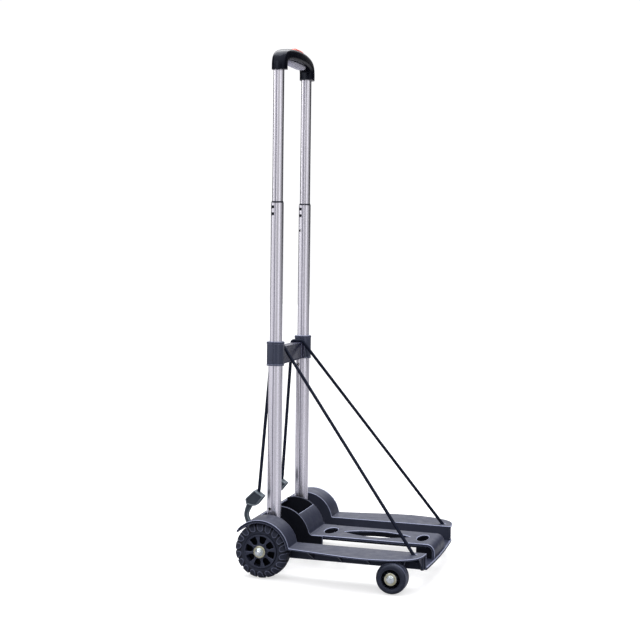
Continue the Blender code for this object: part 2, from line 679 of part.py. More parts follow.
def crossbrace(pivot):
    """Two sleeves on the tops of the outer tubes, joined by a thin bridge."""
    sleeve_width, sleeve_depth = 0.0136, 0.0158
    sleeves = []
    for _, side in SIDES:
        outline = tube_outline(sleeve_width, sleeve_depth, side * TUBE_X)
        sleeves.append(plate("sleeve", [outline], BRACE_BOTTOM, BRACE_TOP))
    bridge = box("bridge", (-0.0740, BRIDGE_FRONT, BRACE_BOTTOM), (0.0740, BRIDGE_REAR, BRIDGE_TOP))
    bevel = bridge.modifiers.new("round", "BEVEL")
    bevel.width = 0.0015
    bevel.segments = 2
    brace = join(sleeves[0], bridge, sleeves[1])
    for _, side in SIDES:
        gap = 0.0003
        bore = tube_outline(TUBE_WIDTH[0] + gap, TUBE_DEPTH[0] + gap, side * TUBE_X)
        mouth = tube_outline(TUBE_WIDTH[1] + gap, TUBE_DEPTH[1] + gap, side * TUBE_X)
        cut(brace, plate("bore", [bore], BRACE_BOTTOM - 0.01, OUTER_TOP + gap))
        cut(brace, plate("mouth", [mouth], OUTER_TOP - 0.01, BRACE_TOP + 0.01))
    bpy.context.view_layer.update()
    bake(brace)
    finish(brace, "crossbrace", slate_plastic(), pivot, 30.0)


def middle_trim(tag, side, pivot):
    """Black collar on the middle tube's top, with two rivets in each flat side."""
    gap = 0.0003
    x = side * TUBE_X
    rim = tube_outline(TUBE_WIDTH[1] + 0.0004, TUBE_DEPTH[1] + 0.0004, x)
    mouth = tube_outline(TUBE_WIDTH[2] + gap, TUBE_DEPTH[2] + gap, x)
    collar = plate("collar", [rim, mouth], MIDDLE_TOP + gap, MIDDLE_TOP + 0.0032)
    finish(collar, "collar_" + tag, gloss_plastic(), pivot, 30.0)
    for row, z in (("upper", 0.6860), ("lower", 0.6730)):
        for place, face in (("outside", side), ("inside", -side)):
            wall = x + face * (TUBE_WIDTH[1] - 0.0003)
            inner_face = wall - face * (TUBE_WALL - 0.0001)
            name = f"rivet_{row}_{place}_{tag}"
            rivet = rod(name, (inner_face, PANEL_Y[1], z), (wall + face * 0.0001, PANEL_Y[1], z), 0.0017, 12)
            finish(rivet, name, gloss_plastic(), pivot, 40.0)


def lock_pin(name, side, stage, z, pivot):
    """A lock pin inside a tube, its round nose in the hole of that tube's inward flat wall."""
    nose = side * TUBE_X - side * (TUBE_WIDTH[stage] - 0.0004)
    direction = -side
    profile = [(0.0, 0.0), (0.0010, -0.0001), (0.0019, -0.0006)]
    profile += [(0.0022, -0.0012), (0.0022, -0.0038), (0.0, -0.0038)]
    pin = turned(name, profile, (0.0, 0.0, 0.0), "Z", 16)
    turn = Matrix.Rotation(math.radians(90.0) * direction, 4, "Y")
    pin.data.transform(Matrix.Translation((nose, PANEL_Y[stage], z)) @ turn)
    finish(pin, name, zinc(), pivot, 40.0)


def grip_outline():
    """Front view of the grip (x, z): two sockets joined by a low arch."""
    half = [(0.0, GRIP_TOP), (0.020, GRIP_TOP - 0.0003), (0.040, GRIP_TOP - 0.0013)]
    half += [(0.058, GRIP_TOP - 0.0032)]
    half += [(0.070, GRIP_TOP - 0.0055), (0.082, GRIP_TOP - 0.0095), (0.090, GRIP_TOP - 0.0155)]
    half += [(0.0945, GRIP_TOP - 0.0240), (0.0960, GRIP_TOP - 0.0320), (0.0962, GRIP_BOTTOM)]
    half += [(0.0718, GRIP_BOTTOM), (0.0716, 0.9500), (0.0690, 0.9550), (0.0640, 0.9592), (0.0560, 0.9612)]
    half += [(0.040, 0.9626), (0.020, 0.9634), (0.0, 0.9636)]
    left = [(-x, z) for x, z in reversed(half) if x > 0.0]
    return half + left


def grip_bow(x):
    """How far forward the grip's centre line stands at x."""
    return -GRIP_BOW * max(0.0, math.cos(math.pi * x / (2.0 * 0.090)))


def bow_mesh(mesh):
    for vertex in mesh.vertices:
        vertex.co.y += grip_bow(vertex.co.x)


def grip(pivot, button_pivot):
    depth = 0.0143
    body = plate("grip_body", [grip_outline()], GRIP_Y - depth, GRIP_Y + depth, "Y")
    bow_mesh(body.data)
    bevel = body.modifiers.new("round", "BEVEL")
    bevel.width = 0.0050
    bevel.segments = 3
    bevel.limit_method = "ANGLE"
    bevel.angle_limit = math.radians(50.0)
    cavity = box("cavity", (-0.0870, -0.0095, 0.9668), (0.0870, 0.0045, 0.9790))
    cut(body, cavity)
    cut(body, box("button_slot", (-0.0265, -0.0094, 0.9700), (0.0265, -0.0006, 1.0)))
    for _, side in SIDES:
        gap = 0.0003
        socket = tube_outline(TUBE_WIDTH[2] + gap, TUBE_DEPTH[2] + gap, side * TUBE_X)
        cut(body, plate("socket", [socket], GRIP_BOTTOM - 0.01, INNER_TOP + gap))
        cut(body, rod("rod_way", (side * TUBE_X, 0.0, 0.95), (side * TUBE_X, 0.0, 0.975), 0.0032, 16))
    bpy.context.view_layer.update()
    bake(body)
    finish(body, "grip_body", gloss_plastic(), pivot, 40.0)
    half = [(0.0560, 0.9608), (0.0530, 0.9560), (0.0460, 0.9522)]
    half += [(0.0380, 0.9508), (0.020, 0.9502), (0.0, 0.9500)]
    top = [(0.0, 0.9633), (0.020, 0.9631), (0.040, 0.9623)]
    outline = half + [(-x, z) for x, z in reversed(half[:-1])]
    outline += [(-x, z) for x, z in reversed(top[1:])] + top
    insert = plate("grip_insert", [outline], GRIP_Y - 0.0100, GRIP_Y + 0.0100, "Y")
    bow_mesh(insert.data)
    finish(insert, "grip_insert", pale_plastic(), pivot, 30.0)
    release(button_pivot)


def release(pivot):
    """Push button on top of the grip, its yoke inside, and a push rod down each inner tube."""
    cap = [(-0.0260, 0.9765), (-0.0260, 0.9860), (-0.0240, 0.9876), (-0.0120, 0.9884), (0.0, 0.9887)]
    cap += [(-x, z) for x, z in reversed(cap[:-1])]
    button = plate("release_button", [cap], -0.0090, -0.0010, "Y")
    finish(button, "release_button", button_orange(), pivot, 30.0)
    yoke = box("release_yoke", (-0.0865, -0.0070, 0.9720), (0.0865, 0.0030, 0.9760))
    finish(yoke, "release_yoke", pale_plastic(), pivot)
    for tag, side in SIDES:
        x = side * TUBE_X
        push = rod("push_rod_" + tag, (x, 0.0, 0.6620), (x, 0.0, 0.9717), 0.0022, 12)
        finish(push, "push_rod_" + tag, zinc(), pivot, 40.0)


# ---------------------------------------------------------------- elastic cords
def hook(name, x, pivot):
    """Moulded hook: a socket block at 45 degrees, a bent neck, and a curl that catches the tail bar."""
    block = [(0.0243, 0.1578), (0.0062, 0.1461), (0.0200, 0.1291)]
    block += [(0.0271, 0.1276), (0.0403, 0.1305), (0.0420, 0.1406)]
    outside = [(0.0400, 0.1320), (0.0437, 0.1210), (0.0457, 0.1107), (0.0445, 0.1035), (0.0420, 0.0965)]
    curl = [(0.0380, 0.0905), (0.0370, 0.0862), (0.0400, 0.0832), (0.0435, 0.0795), (0.0413, 0.0770)]
    inside = [(0.0368, 0.0800), (0.0334, 0.0840), (0.0323, 0.0885)]
    inside += [(0.0330, 0.0935), (0.0342, 0.0990), (0.0371, 0.1060)]
    neck = outside + curl + inside + [(0.0375, 0.1120), (0.0345, 0.1190), (0.0285, 0.1290)]
    body = plate(name, [block], x - 0.0085, x + 0.0085, "X")
    join(body, plate("hook_neck", [neck], x - 0.0042, x + 0.0042, "X"))
    lead = Vector(SOCKET_LEAD).normalized()
    mouth = Vector((x, *SOCKET_MOUTH))
    cut(body, rod("cord_socket", mouth - lead * 0.010, mouth + lead * 0.0105, CORD_RADIUS + 0.0012, 16))
    bpy.context.view_layer.update()
    bake(body)
    finish(body, name, slate_plastic(), pivot, 30.0)


def straight(start, end, spacing=0.0140):
    """Evenly spaced points from start up to, but not including, end."""
    count = max(1, round((end - start).length / spacing))
    return [start.lerp(end, i / count) for i in range(count)]


def cord_route(side, hook_x):
    """Knot under the deck, up to the bridge, over it, and down behind the tubes to the hook."""
    over = side * CORD_OVER_X
    reach = 0.0015 + CORD_RADIUS + 0.0004
    hole = Vector((side * CORD_HOLE_X, HOLE_PITCH_Y, DECK_TOP))
    front_bend = arc(reach, 142.0, 90.0, 4, (BRIDGE_FRONT + 0.0015, BRIDGE_TOP - 0.0015))
    rear_bend = arc(reach, 90.0, 2.0, 6, (BRIDGE_REAR - 0.0015, BRIDGE_TOP - 0.0015))
    over_bridge = [Vector((over, y, z)) for y, z in front_bend + rear_bend]
    lead_in = (hole - over_bridge[0]).normalized()
    entry = Vector((hook_x, *SOCKET_MOUTH))
    lead_out = Vector(SOCKET_LEAD).normalized()
    arrive = (over_bridge[-1] - entry).normalized()
    bend = []
    for i in range(5):
        t = i / 4.0
        bend.append(entry + arrive * 0.0080 * (1.0 - t) ** 2 + lead_out * 0.0050 * t ** 2)
    start = hole + lead_in * 0.0062
    return straight(start, over_bridge[0]) + over_bridge[:-1] + straight(over_bridge[-1], bend[0]) + bend


def elastic_cord(tag, side, hook_x, pivot):
    """Round elastic cord along its whole route, and the knot that holds it under the deck."""
    points = cord_route(side, hook_x)
    curve = bpy.data.curves.new("cord_" + tag, "CURVE")
    curve.dimensions = "3D"
    curve.bevel_depth = CORD_RADIUS
    curve.bevel_resolution = 2
    curve.use_fill_caps = True
    spline = curve.splines.new("POLY")
    spline.points.add(len(points) - 1)
    for point, place in zip(spline.points, points):
        point.co = (*place, 1.0)
    made = bpy.data.objects.new("cord_" + tag, curve)
    collection(PARTS).objects.link(made)
    bpy.context.view_layer.update()
    made = curve_to_mesh(made)
    finish(made, "cord_" + tag, cord_black(), pivot, 60.0)
    lead = (points[0] - points[1]).normalized()
    centre = points[0] + lead * 0.0056
    ball = [(0.0, 0.0050), (0.0026, 0.0044), (0.0046, 0.0022), (0.0052, 0.0)]
    ball += [(radius, -height) for radius, height in reversed(ball[:-1])]
    knot = turned("cord_knot_" + tag, ball, (0.0, 0.0, 0.0), "Z", 14)
    turn = lead.to_track_quat("Z", "Y").to_matrix().to_4x4()
    knot.data.transform(Matrix.Translation(centre) @ turn)
    finish(knot, "cord_knot_" + tag, cord_black(), pivot, 60.0)


# ---------------------------------------------------------------- the cart
def build():
    clear_scene()
    origin = empty("cart_origin", location=(0.0, AXLE_Y, 0.0))
    origin["home"] = (0.0, 0.0, 0.0)
    axle = (0.0, 0.0, REAR_RADIUS)
    pivots = {"handle": pivot_at("handle_pivot", axle, origin),
              "middle": pivot_at("middle_stage", (0.0, 0.0, MIDDLE_BOTTOM), origin),
              "inner": pivot_at("inner_stage", (0.0, 0.0, INNER_BOTTOM), origin),
              "button": pivot_at("button_guide", (0.0, 0.0, GRIP_TOP), origin),
              "rear": pivot_at("rear_axle_line", axle, origin),
              "front": pivot_at("front_axle_line", (0.0, FRONT_WHEEL_Y, FRONT_RADIUS), origin)}
    deck_frame(origin)
    rear_axle(origin)
    crossbrace(pivots["handle"])
    grip(pivots["inner"], pivots["button"])
    for (tag, side), hook_x in zip(SIDES, HOOK_X):
        rear_wheel(tag, side, pivots["rear"])
        front_wheel(tag, side, pivots["front"])
        wheel_fasteners(tag, side, origin)
        tube_foot(tag, side, pivots["handle"])
        handle_tubes(tag, side, pivots)
        middle_trim(tag, side, pivots["middle"])
        lock_pin("upper_pin_" + tag, side, 2, UPPER_PIN_Z, pivots["inner"])
        lock_pin("lower_pin_" + tag, side, 1, LOWER_PIN_Z, pivots["middle"])
        hook("hook_" + tag, hook_x, origin)
        elastic_cord(tag, side, hook_x, origin)


build()
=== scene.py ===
"""Folding luggage cart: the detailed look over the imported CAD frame. Metres, +Z up, front towards -Y."""
import math

import bmesh
import bpy
from mathutils import Matrix, Vector
from mathutils.geometry import tessellate_polygon
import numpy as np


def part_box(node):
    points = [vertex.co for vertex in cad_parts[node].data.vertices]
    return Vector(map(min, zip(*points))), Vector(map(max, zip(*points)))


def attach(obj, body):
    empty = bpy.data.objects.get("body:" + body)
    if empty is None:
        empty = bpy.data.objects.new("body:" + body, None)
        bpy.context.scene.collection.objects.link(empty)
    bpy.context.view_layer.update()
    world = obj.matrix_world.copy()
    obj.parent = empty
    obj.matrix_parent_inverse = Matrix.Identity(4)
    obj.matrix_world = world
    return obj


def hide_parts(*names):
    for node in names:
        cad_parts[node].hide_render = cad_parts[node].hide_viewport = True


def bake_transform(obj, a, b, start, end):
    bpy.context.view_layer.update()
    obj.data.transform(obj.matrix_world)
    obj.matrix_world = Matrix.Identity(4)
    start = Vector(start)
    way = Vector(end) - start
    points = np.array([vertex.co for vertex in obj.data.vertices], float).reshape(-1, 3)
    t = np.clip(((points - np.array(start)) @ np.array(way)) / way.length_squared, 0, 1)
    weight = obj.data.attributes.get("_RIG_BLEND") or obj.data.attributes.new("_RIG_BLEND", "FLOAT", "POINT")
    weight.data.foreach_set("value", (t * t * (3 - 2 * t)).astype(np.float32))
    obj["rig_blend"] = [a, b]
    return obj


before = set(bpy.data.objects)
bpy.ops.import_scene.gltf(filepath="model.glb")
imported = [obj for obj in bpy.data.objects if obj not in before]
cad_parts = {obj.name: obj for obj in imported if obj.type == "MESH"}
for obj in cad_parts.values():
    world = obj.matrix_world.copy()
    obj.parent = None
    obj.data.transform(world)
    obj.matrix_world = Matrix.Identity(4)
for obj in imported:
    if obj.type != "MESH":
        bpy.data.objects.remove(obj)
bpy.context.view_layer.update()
AXLE_LOW, AXLE_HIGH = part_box("rear_axle")
AXLE_Y = (AXLE_LOW.y + AXLE_HIGH.y) / 2.0
REAR_Z = (AXLE_LOW.z + AXLE_HIGH.z) / 2.0
FRONT_Y, FRONT_Z = -0.253, 0.0285                # the front wheels' axle, measured from the rear one
TUBE_X = 0.084                                   # from the middle of the cart to each handle tube
HOME = Matrix.Translation((0.0, AXLE_Y, 0.0))    # shapes are drawn with the rear axle at Y = 0
AS_DRAWN = Matrix.Identity(4)
REAR_CENTRE = (0.0, 0.0, REAR_Z)
FRONT_CENTRE = (0.0, FRONT_Y, FRONT_Z)
SIDES = (("l", -1.0), ("r", 1.0))
DEG = math.pi / 180.0
FRONT_PANEL_ANGLE = 216.0                        # directions round the cart, in degrees from +X
FLAG_ANGLES = (-50.0, 95.0)
WALL_PANELS = (("rear_panel", 158.0, 1.5, 0.46), ("front_panel", FRONT_PANEL_ANGLE, 1.3, 0.64),
               ("backdrop", 17.0, 1.6, 0.3))
FLOOR_PANELS = (("low_panel_near", 0.5, 0.26), ("low_panel_far", 1.1, 0.5))


# ---------------------------------------------------------------- camera, light and floor
def photo_camera():
    """A long lens low on the cart's left, a little ahead of the axle."""
    azimuth, pitch, roll = -73.04 * DEG, 3.73 * DEG, 0.75 * DEG
    back = Vector((math.sin(azimuth) * math.cos(pitch), -math.cos(azimuth) * math.cos(pitch),
                   math.sin(pitch)))
    right = Vector((math.cos(azimuth), math.sin(azimuth), 0.0))
    up = back.cross(right)
    turned_right = right * math.cos(roll) + up * math.sin(roll)
    turned_up = up * math.cos(roll) - right * math.sin(roll)
    lens = bpy.data.cameras.new("camera")
    lens.sensor_width = 36.0
    lens.lens = 71.06
    lens.clip_start = 0.05
    lens.clip_end = 50.0
    camera = bpy.data.objects.new("camera", lens)
    bpy.context.scene.collection.objects.link(camera)
    place = Vector((-2.3258, AXLE_Y - 0.7695, 0.6298))
    axes = Matrix((turned_right, turned_up, back)).transposed().to_4x4()
    camera.matrix_world = Matrix.Translation(place) @ axes
    bpy.context.scene.camera = camera


def soft_light(name, place, target, width, height, power, colour=(1.0, 1.0, 1.0)):
    lamp = bpy.data.lights.new(name, "AREA")
    lamp.shape = "RECTANGLE"
    lamp.size = width
    lamp.size_y = height
    lamp.energy = power
    lamp.color = colour
    lamp_object = bpy.data.objects.new(name, lamp)
    bpy.context.scene.collection.objects.link(lamp_object)
    place, target = Vector(place), Vector(target)
    turn = (target - place).to_track_quat("-Z", "Y").to_matrix().to_4x4()
    lamp_object.matrix_world = Matrix.Translation(place) @ turn
    return lamp_object


def fill(tree, node, *sources, **settings):
    """Sets or links a node's inputs, by place and by name; other settings are its attributes."""
    for key, value in [*enumerate(sources), *settings.items()]:
        label = key.replace("_", " ") if isinstance(key, str) else key
        if isinstance(label, str) and label not in node.inputs:
            setattr(node, key, value)
        elif isinstance(value, bpy.types.NodeSocket):
            tree.links.new(value, node.inputs[label])
        elif value is not None:
            node.inputs[label].default_value = value
    return node


def node_of(tree, kind, *sources, **settings):
    return fill(tree, tree.nodes.new("ShaderNode" + kind), *sources, **settings)


def spread(tree, value, low, high, start=0.35, stop=0.65, kind="LINEAR"):
    """Maps a value from start..stop to low..high."""
    made = node_of(tree, "MapRange", value, start, stop, low, high, interpolation_type=kind)
    return made.outputs["Result"]


def two_tone(tree, value, first, second, start=0.35, stop=0.65):
    """Runs from one colour to another as a value goes from start to stop."""
    ramp = node_of(tree, "ValToRGB", value)
    for element, at, colour in zip(ramp.color_ramp.elements, (start, stop), (first, second)):
        element.position = at
        element.color = (*colour, 1.0)
    return ramp.outputs["Color"]


def studio_world():
    """Pale surroundings: bright above, paler grey round the sides, with two dark flags."""
    world = bpy.data.worlds.new("studio")
    world.use_nodes = True
    tree = world.node_tree
    way = node_of(tree, "TexCoord").outputs["Generated"]
    height = node_of(tree, "SeparateXYZ", way).outputs["Z"]
    level = spread(tree, height, 0.34, 1.9, 0.0, 0.95, "SMOOTHSTEP")
    for angle in FLAG_ANGLES:
        heading = (math.cos(angle * DEG), math.sin(angle * DEG), 0.0)
        facing = node_of(tree, "VectorMath", way, heading, operation="DOT_PRODUCT").outputs["Value"]
        shade = spread(tree, facing, 1.0, 0.05, 0.58, 0.86, "SMOOTHSTEP")
        level = node_of(tree, "Math", level, shade, operation="MULTIPLY").outputs["Value"]
    seen = node_of(tree, "LightPath").outputs["Is Camera Ray"]
    strength = node_of(tree, "Mix", data_type="FLOAT", Factor=seen, A=level, B=1.05).outputs["Result"]
    fill(tree, tree.nodes["Background"], Strength=strength, Color=(0.985, 0.985, 1.0, 1.0))
    bpy.context.scene.world = world


def glossy_panel(name, place, target, width, height, glow):
    """A pale panel that shows only in reflections."""
    power = glow * math.pi * width * height
    panel = soft_light(name, place, target, width, height, power, (0.97, 0.96, 1.0))
    panel.visible_diffuse = False
    panel.visible_camera = False


def floor_paint():
    """White to the camera, greyer to the light that bounces off it."""
    made, tree, shader, _ = surface("floor_white", 0.9, Specular_IOR_Level=0.1)
    ray = node_of(tree, "LightPath").outputs
    seen = ray["Is Camera Ray"]
    shown = spread(tree, seen, 0.0, 0.62, 0.0, 1.0)
    reflected = spread(tree, ray["Is Glossy Ray"], 0.0, 0.19, 0.0, 1.0)
    glow = node_of(tree, "Math", shown, reflected, operation="ADD").outputs["Value"]
    colour = two_tone(tree, seen, (0.2, 0.2, 0.22), (0.5, 0.5, 0.51), 0.0, 1.0)
    fill(tree, shader, Base_Color=colour, Emission_Color=(1.0, 1.0, 1.0, 1.0), Emission_Strength=glow)
    return made


def studio():
    """Soft light from above and from the left, panels for the reflections, and a pale floor."""
    studio_world()
    bpy.context.scene.view_settings.view_transform = "Standard"
    soft_light("overhead", (0.5, 0.3, 2.3), (0.0, 0.0, 0.1), 1.8, 1.8, 42.0)
    soft_light("left_key", (-1.9, 1.4, 1.5), (0.0, 0.1, 0.3), 0.8, 1.4, 7.0)
    for name, angle, width, glow in WALL_PANELS:
        place = (3.0 * math.cos(angle * DEG), 3.0 * math.sin(angle * DEG), 0.7)
        glossy_panel(name, place, (0.0, 0.0, 0.7), width, 2.6, glow)
    for name, reach, size in FLOOR_PANELS:
        x = reach * math.cos(FRONT_PANEL_ANGLE * DEG) - 0.05
        y = reach * math.sin(FRONT_PANEL_ANGLE * DEG) - 0.05
        glossy_panel(name, (x, y, 0.001), (x - 0.0081, y - 0.0059, 1.0), size, size, 0.55)
    mesh = bpy.data.meshes.new("floor")
    work = bmesh.new()
    work.faces.new([work.verts.new((x, y, -0.0004)) for x, y in ((-9, -9), (9, -9), (9, 9), (-9, 9))])
    work.to_mesh(mesh)
    work.free()
    floor = bpy.data.objects.new("floor", mesh)
    bpy.context.scene.collection.objects.link(floor)
    mesh.materials.append(floor_paint())


# ---------------------------------------------------------------- materials
BLUISH = (0.74, 0.81, 1.0, 1.0)
# edge is the colour of the painted highlight along rounded edges
PLASTICS = {
    # near black: painted shade for the hub recesses
    "recess_shade_plastic": dict(dark=(0.0022, 0.0024, 0.004), light=(0.0034, 0.0038, 0.006), roughness=0.6,
                           grain=0.2, Specular_IOR_Level=0.12),
    "deck_plastic": dict(dark=(0.022, 0.025, 0.046), light=(0.03, 0.034, 0.058), roughness=0.42,
                         grain=0.28, edge=(0.46, 0.5, 0.7)),
    "deck_rib_plastic": dict(dark=(0.021, 0.024, 0.04), light=(0.028, 0.031, 0.05), roughness=0.5,
                             grain=0.28, edge=(0.26, 0.28, 0.42), Specular_IOR_Level=0.4),
    # near black: painted shade for the hump walls and the pieces under the middle rail
    "deck_wall_shade_plastic": dict(dark=(0.003, 0.0034, 0.006), light=(0.0046, 0.005, 0.0085), roughness=0.6,
                              grain=0.25, edge=(0.22, 0.24, 0.34), Specular_IOR_Level=0.15),
    "grip_plastic": dict(dark=(0.004, 0.0045, 0.0085), light=(0.0065, 0.0072, 0.0125), roughness=0.2,
                         grain=0.01, edge=(0.03, 0.034, 0.055), Specular_IOR_Level=0.14),
    "sleeve_plastic": dict(dark=(0.034, 0.04, 0.068), light=(0.044, 0.05, 0.082), roughness=0.22,
                           grain=0.05, edge=(0.3, 0.32, 0.46), Coat_Weight=0.3, Coat_Roughness=0.14),
    "bridge_plastic": dict(dark=(0.019, 0.02, 0.042), light=(0.026, 0.027, 0.054), roughness=0.22,
                           grain=0.03, edge=(0.34, 0.34, 0.5)),
    "hook_plastic": dict(dark=(0.088, 0.11, 0.128), light=(0.112, 0.136, 0.152), roughness=0.36,
                         grain=0.12, edge=(0.4, 0.46, 0.5)),
    # darker copy of the hook plastic: painted shade for the sunken panels
    "hook_panel_shade_plastic": dict(dark=(0.03, 0.038, 0.048), light=(0.042, 0.052, 0.062), roughness=0.42,
                               grain=0.18, edge=(0.09, 0.11, 0.13)),
    "hub_plastic": dict(dark=(0.02, 0.023, 0.04), light=(0.027, 0.03, 0.05), roughness=0.42,
                        grain=0.22, edge=(0.085, 0.095, 0.15)),
    "insert_plastic": dict(dark=(0.74, 0.73, 0.84), light=(0.8, 0.79, 0.9), roughness=0.34, grain=0.02),
    "button_plastic": dict(dark=(0.86, 0.05, 0.004), light=(0.92, 0.075, 0.008), roughness=0.3, grain=0.12),
    "collar_plastic": dict(dark=(0.01, 0.01, 0.015), light=(0.015, 0.015, 0.022), roughness=0.32, grain=0.15),
    "rivet_plastic": dict(dark=(0.004, 0.004, 0.006), light=(0.007, 0.007, 0.01), roughness=0.4,
                          grain=0.15, Specular_IOR_Level=0.2),
    "foot_plastic": dict(dark=(0.012, 0.012, 0.018), light=(0.018, 0.018, 0.026), roughness=0.36, grain=0.2),
}


def surface(name, roughness, metallic=0.0, **extra):
    """A material with its shader and its coordinates, ready for its detail."""
    made = bpy.data.materials.new(name)
    made.use_nodes = True
    tree = made.node_tree
    shader = tree.nodes["Principled BSDF"]
    fill(tree, shader, Roughness=roughness, Metallic=metallic, **extra)
    return made, tree, shader, node_of(tree, "TexCoord").outputs["Object"]


def noise(tree, place, scale, detail=3.0, stretch=None):
    if stretch:
        place = node_of(tree, "Mapping", place, Scale=stretch).outputs["Vector"]
    return node_of(tree, "TexNoise", place, Scale=scale, Detail=detail).outputs["Fac"]


def add_bump(tree, shader, *heights):
    """Chains (height, strength, distance) bumps into the shader's normal."""
    last = None
    for height, strength, distance in heights:
        bump = node_of(tree, "Bump", Height=height, Strength=strength, Distance=distance, Normal=last)
        last = bump.outputs["Normal"]
    fill(tree, shader, Normal=last)


def mixed(tree, factor, colour, other):
    made = node_of(tree, "Mix", data_type="RGBA", Factor=factor, A=colour, B=(*other, 1.0))
    return made.outputs["Result"]


def painted_edge_highlight(tree, colour, bright, strength):
    """Lightens a colour along rounded edges: a painted highlight, read from the painted light mask."""
    edge = node_of(tree, "Attribute", attribute_name="painted_light").outputs["Fac"]
    return mixed(tree, spread(tree, edge, 0.0, strength, 0.15, 0.85), colour, bright)


def moulded(name, dark, light, roughness, grain, edge=None, **extra):
    """Moulded plastic: spark-eroded grain, faint flow marks, patchy sheen."""
    made, tree, shader, place = surface(name, roughness, Specular_Tint=BLUISH, **extra)
    colour = two_tone(tree, noise(tree, place, 22.0, 5.0), dark, light)
    # painted highlight along the rounded edges, in the edge colour
    if edge:
        colour = painted_edge_highlight(tree, colour, edge, 0.85)
    sheen = spread(tree, noise(tree, place, 60.0, 4.0), roughness - 0.05, roughness + 0.09)
    fill(tree, shader, Base_Color=colour, Roughness=sheen)
    add_bump(tree, shader, (noise(tree, place, 1500.0, 2.0), grain, 0.0002),
             (noise(tree, place, 16.0, 2.0), 0.06, 0.002))
    return made


def plastic(name):
    return moulded(name, **PLASTICS[name])


def rubber(name, gloss):
    """Tyre rubber: dusty in patches, with painted highlights on the lug rims and painted shade in its grooves, and a
    fine pitted skin.
    """
    made, tree, shader, place = surface(name, gloss, Specular_IOR_Level=0.35, Specular_Tint=BLUISH)
    dusty = two_tone(tree, noise(tree, place, 45.0, 6.0), (0.014, 0.016, 0.028), (0.024, 0.027, 0.042))
    # painted highlight on the lug rims
    lit = painted_edge_highlight(tree, dusty, (0.105, 0.115, 0.17), 1.0)
    # painted shade in the grooves, near black where the mask is negative
    low = node_of(tree, "Attribute", attribute_name="painted_light").outputs["Fac"]
    colour = mixed(tree, spread(tree, low, 0.9, 0.0, -0.8, -0.2), lit, (0.0035, 0.0038, 0.006))
    sheen = spread(tree, noise(tree, place, 90.0, 4.0), gloss - 0.06, gloss + 0.12)
    fill(tree, shader, Base_Color=colour, Roughness=sheen)
    add_bump(tree, shader, (noise(tree, place, 1800.0, 3.0), 0.45, 0.0002),
             (noise(tree, place, 70.0, 3.0), 0.1, 0.0008))
    return made


def aluminium():
    """Satin anodised tube with drawing lines along its length and painted shade along its side groove."""
    made, tree, shader, place = surface("tube_aluminium", 0.24, 1.0)
    lines = noise(tree, place, 1.0, 3.0, stretch=(1100.0, 1100.0, 5.0))
    patches = noise(tree, place, 1.0, 3.0, stretch=(30.0, 30.0, 5.0))
    bright = two_tone(tree, patches, (0.86, 0.84, 0.91), (0.89, 0.87, 0.94))
    # painted shade: a darker band at the side groove's depth
    depth = node_of(tree, "SeparateXYZ", place).outputs["Y"]
    groove = node_of(tree, "Math", depth, AXLE_Y + 0.0018, 0.0009, operation="COMPARE").outputs["Value"]
    colour = mixed(tree, spread(tree, groove, 0.0, 0.8, 0.0, 1.0), bright, (0.22, 0.215, 0.27))
    fill(tree, shader, Base_Color=colour, Roughness=spread(tree, lines, 0.24, 0.29))
    add_bump(tree, shader, (lines, 0.012, 0.0001))
    return made


def tube_bore_shade():
    """The bore of a tube: near black as painted shade, dull, with drawing marks."""
    made, tree, shader, place = surface("tube_bore_shade", 0.55, 0.6, Specular_IOR_Level=0.1)
    lines = noise(tree, place, 1.0, 3.0, stretch=(900.0, 900.0, 14.0))
    colour = two_tone(tree, lines, (0.012, 0.012, 0.015), (0.026, 0.026, 0.031))
    fill(tree, shader, Base_Color=colour, Roughness=spread(tree, lines, 0.48, 0.66))
    add_bump(tree, shader, (lines, 0.2, 0.0002))
    return made


def zinc(name, colour, tint, roughness=0.25):
    """Zinc plate: bright steel with yellowish passivation patches."""
    made, tree, shader, place = surface(name, roughness, 1.0)
    sheen = spread(tree, noise(tree, place, 400.0, 4.0), roughness - 0.08, roughness + 0.12)
    fill(tree, shader, Base_Color=two_tone(tree, noise(tree, place, 160.0, 3.0), colour, tint),
         Roughness=sheen)
    add_bump(tree, shader, (noise(tree, place, 900.0, 3.0), 0.15, 0.0002))
    return made


def cord_weave():
    """Braided sheath; the strands are in the mesh, the fibres in the bump."""
    made, tree, shader, place = surface("cord_sheath", 0.6, Specular_IOR_Level=0.18,
                                        Specular_Tint=(0.6, 0.7, 1.0, 1.0))
    fibres = noise(tree, place, 300.0, 4.0)
    fill(tree, shader, Base_Color=two_tone(tree, fibres, (0.0035, 0.0048, 0.012), (0.007, 0.009, 0.02)))
    add_bump(tree, shader, (noise(tree, place, 4200.0, 2.0), 0.6, 0.0002))
    return made


# ---------------------------------------------------------------- shape helpers
AXIS_TURN = {
    "X": Matrix(((0, 0, 1, 0), (1, 0, 0, 0), (0, 1, 0, 0), (0, 0, 0, 1))),
    "Y": Matrix(((1, 0, 0, 0), (0, 0, -1, 0), (0, 1, 0, 0), (0, 0, 0, 1))),
    "Z": AS_DRAWN,
}


def arc(radius, start, end, steps, centre=(0.0, 0.0)):
    angles = [(start + (end - start) * i / steps) * DEG for i in range(steps + 1)]
    return [(centre[0] + radius * math.cos(a), centre[1] + radius * math.sin(a)) for a in angles]


def oval(half_u, half_v, centre=(0.0, 0.0), steps=48):
    turn = [2.0 * math.pi * i / steps for i in range(steps)]
    return [(centre[0] + half_u * math.cos(t), centre[1] + half_v * math.sin(t)) for t in turn]


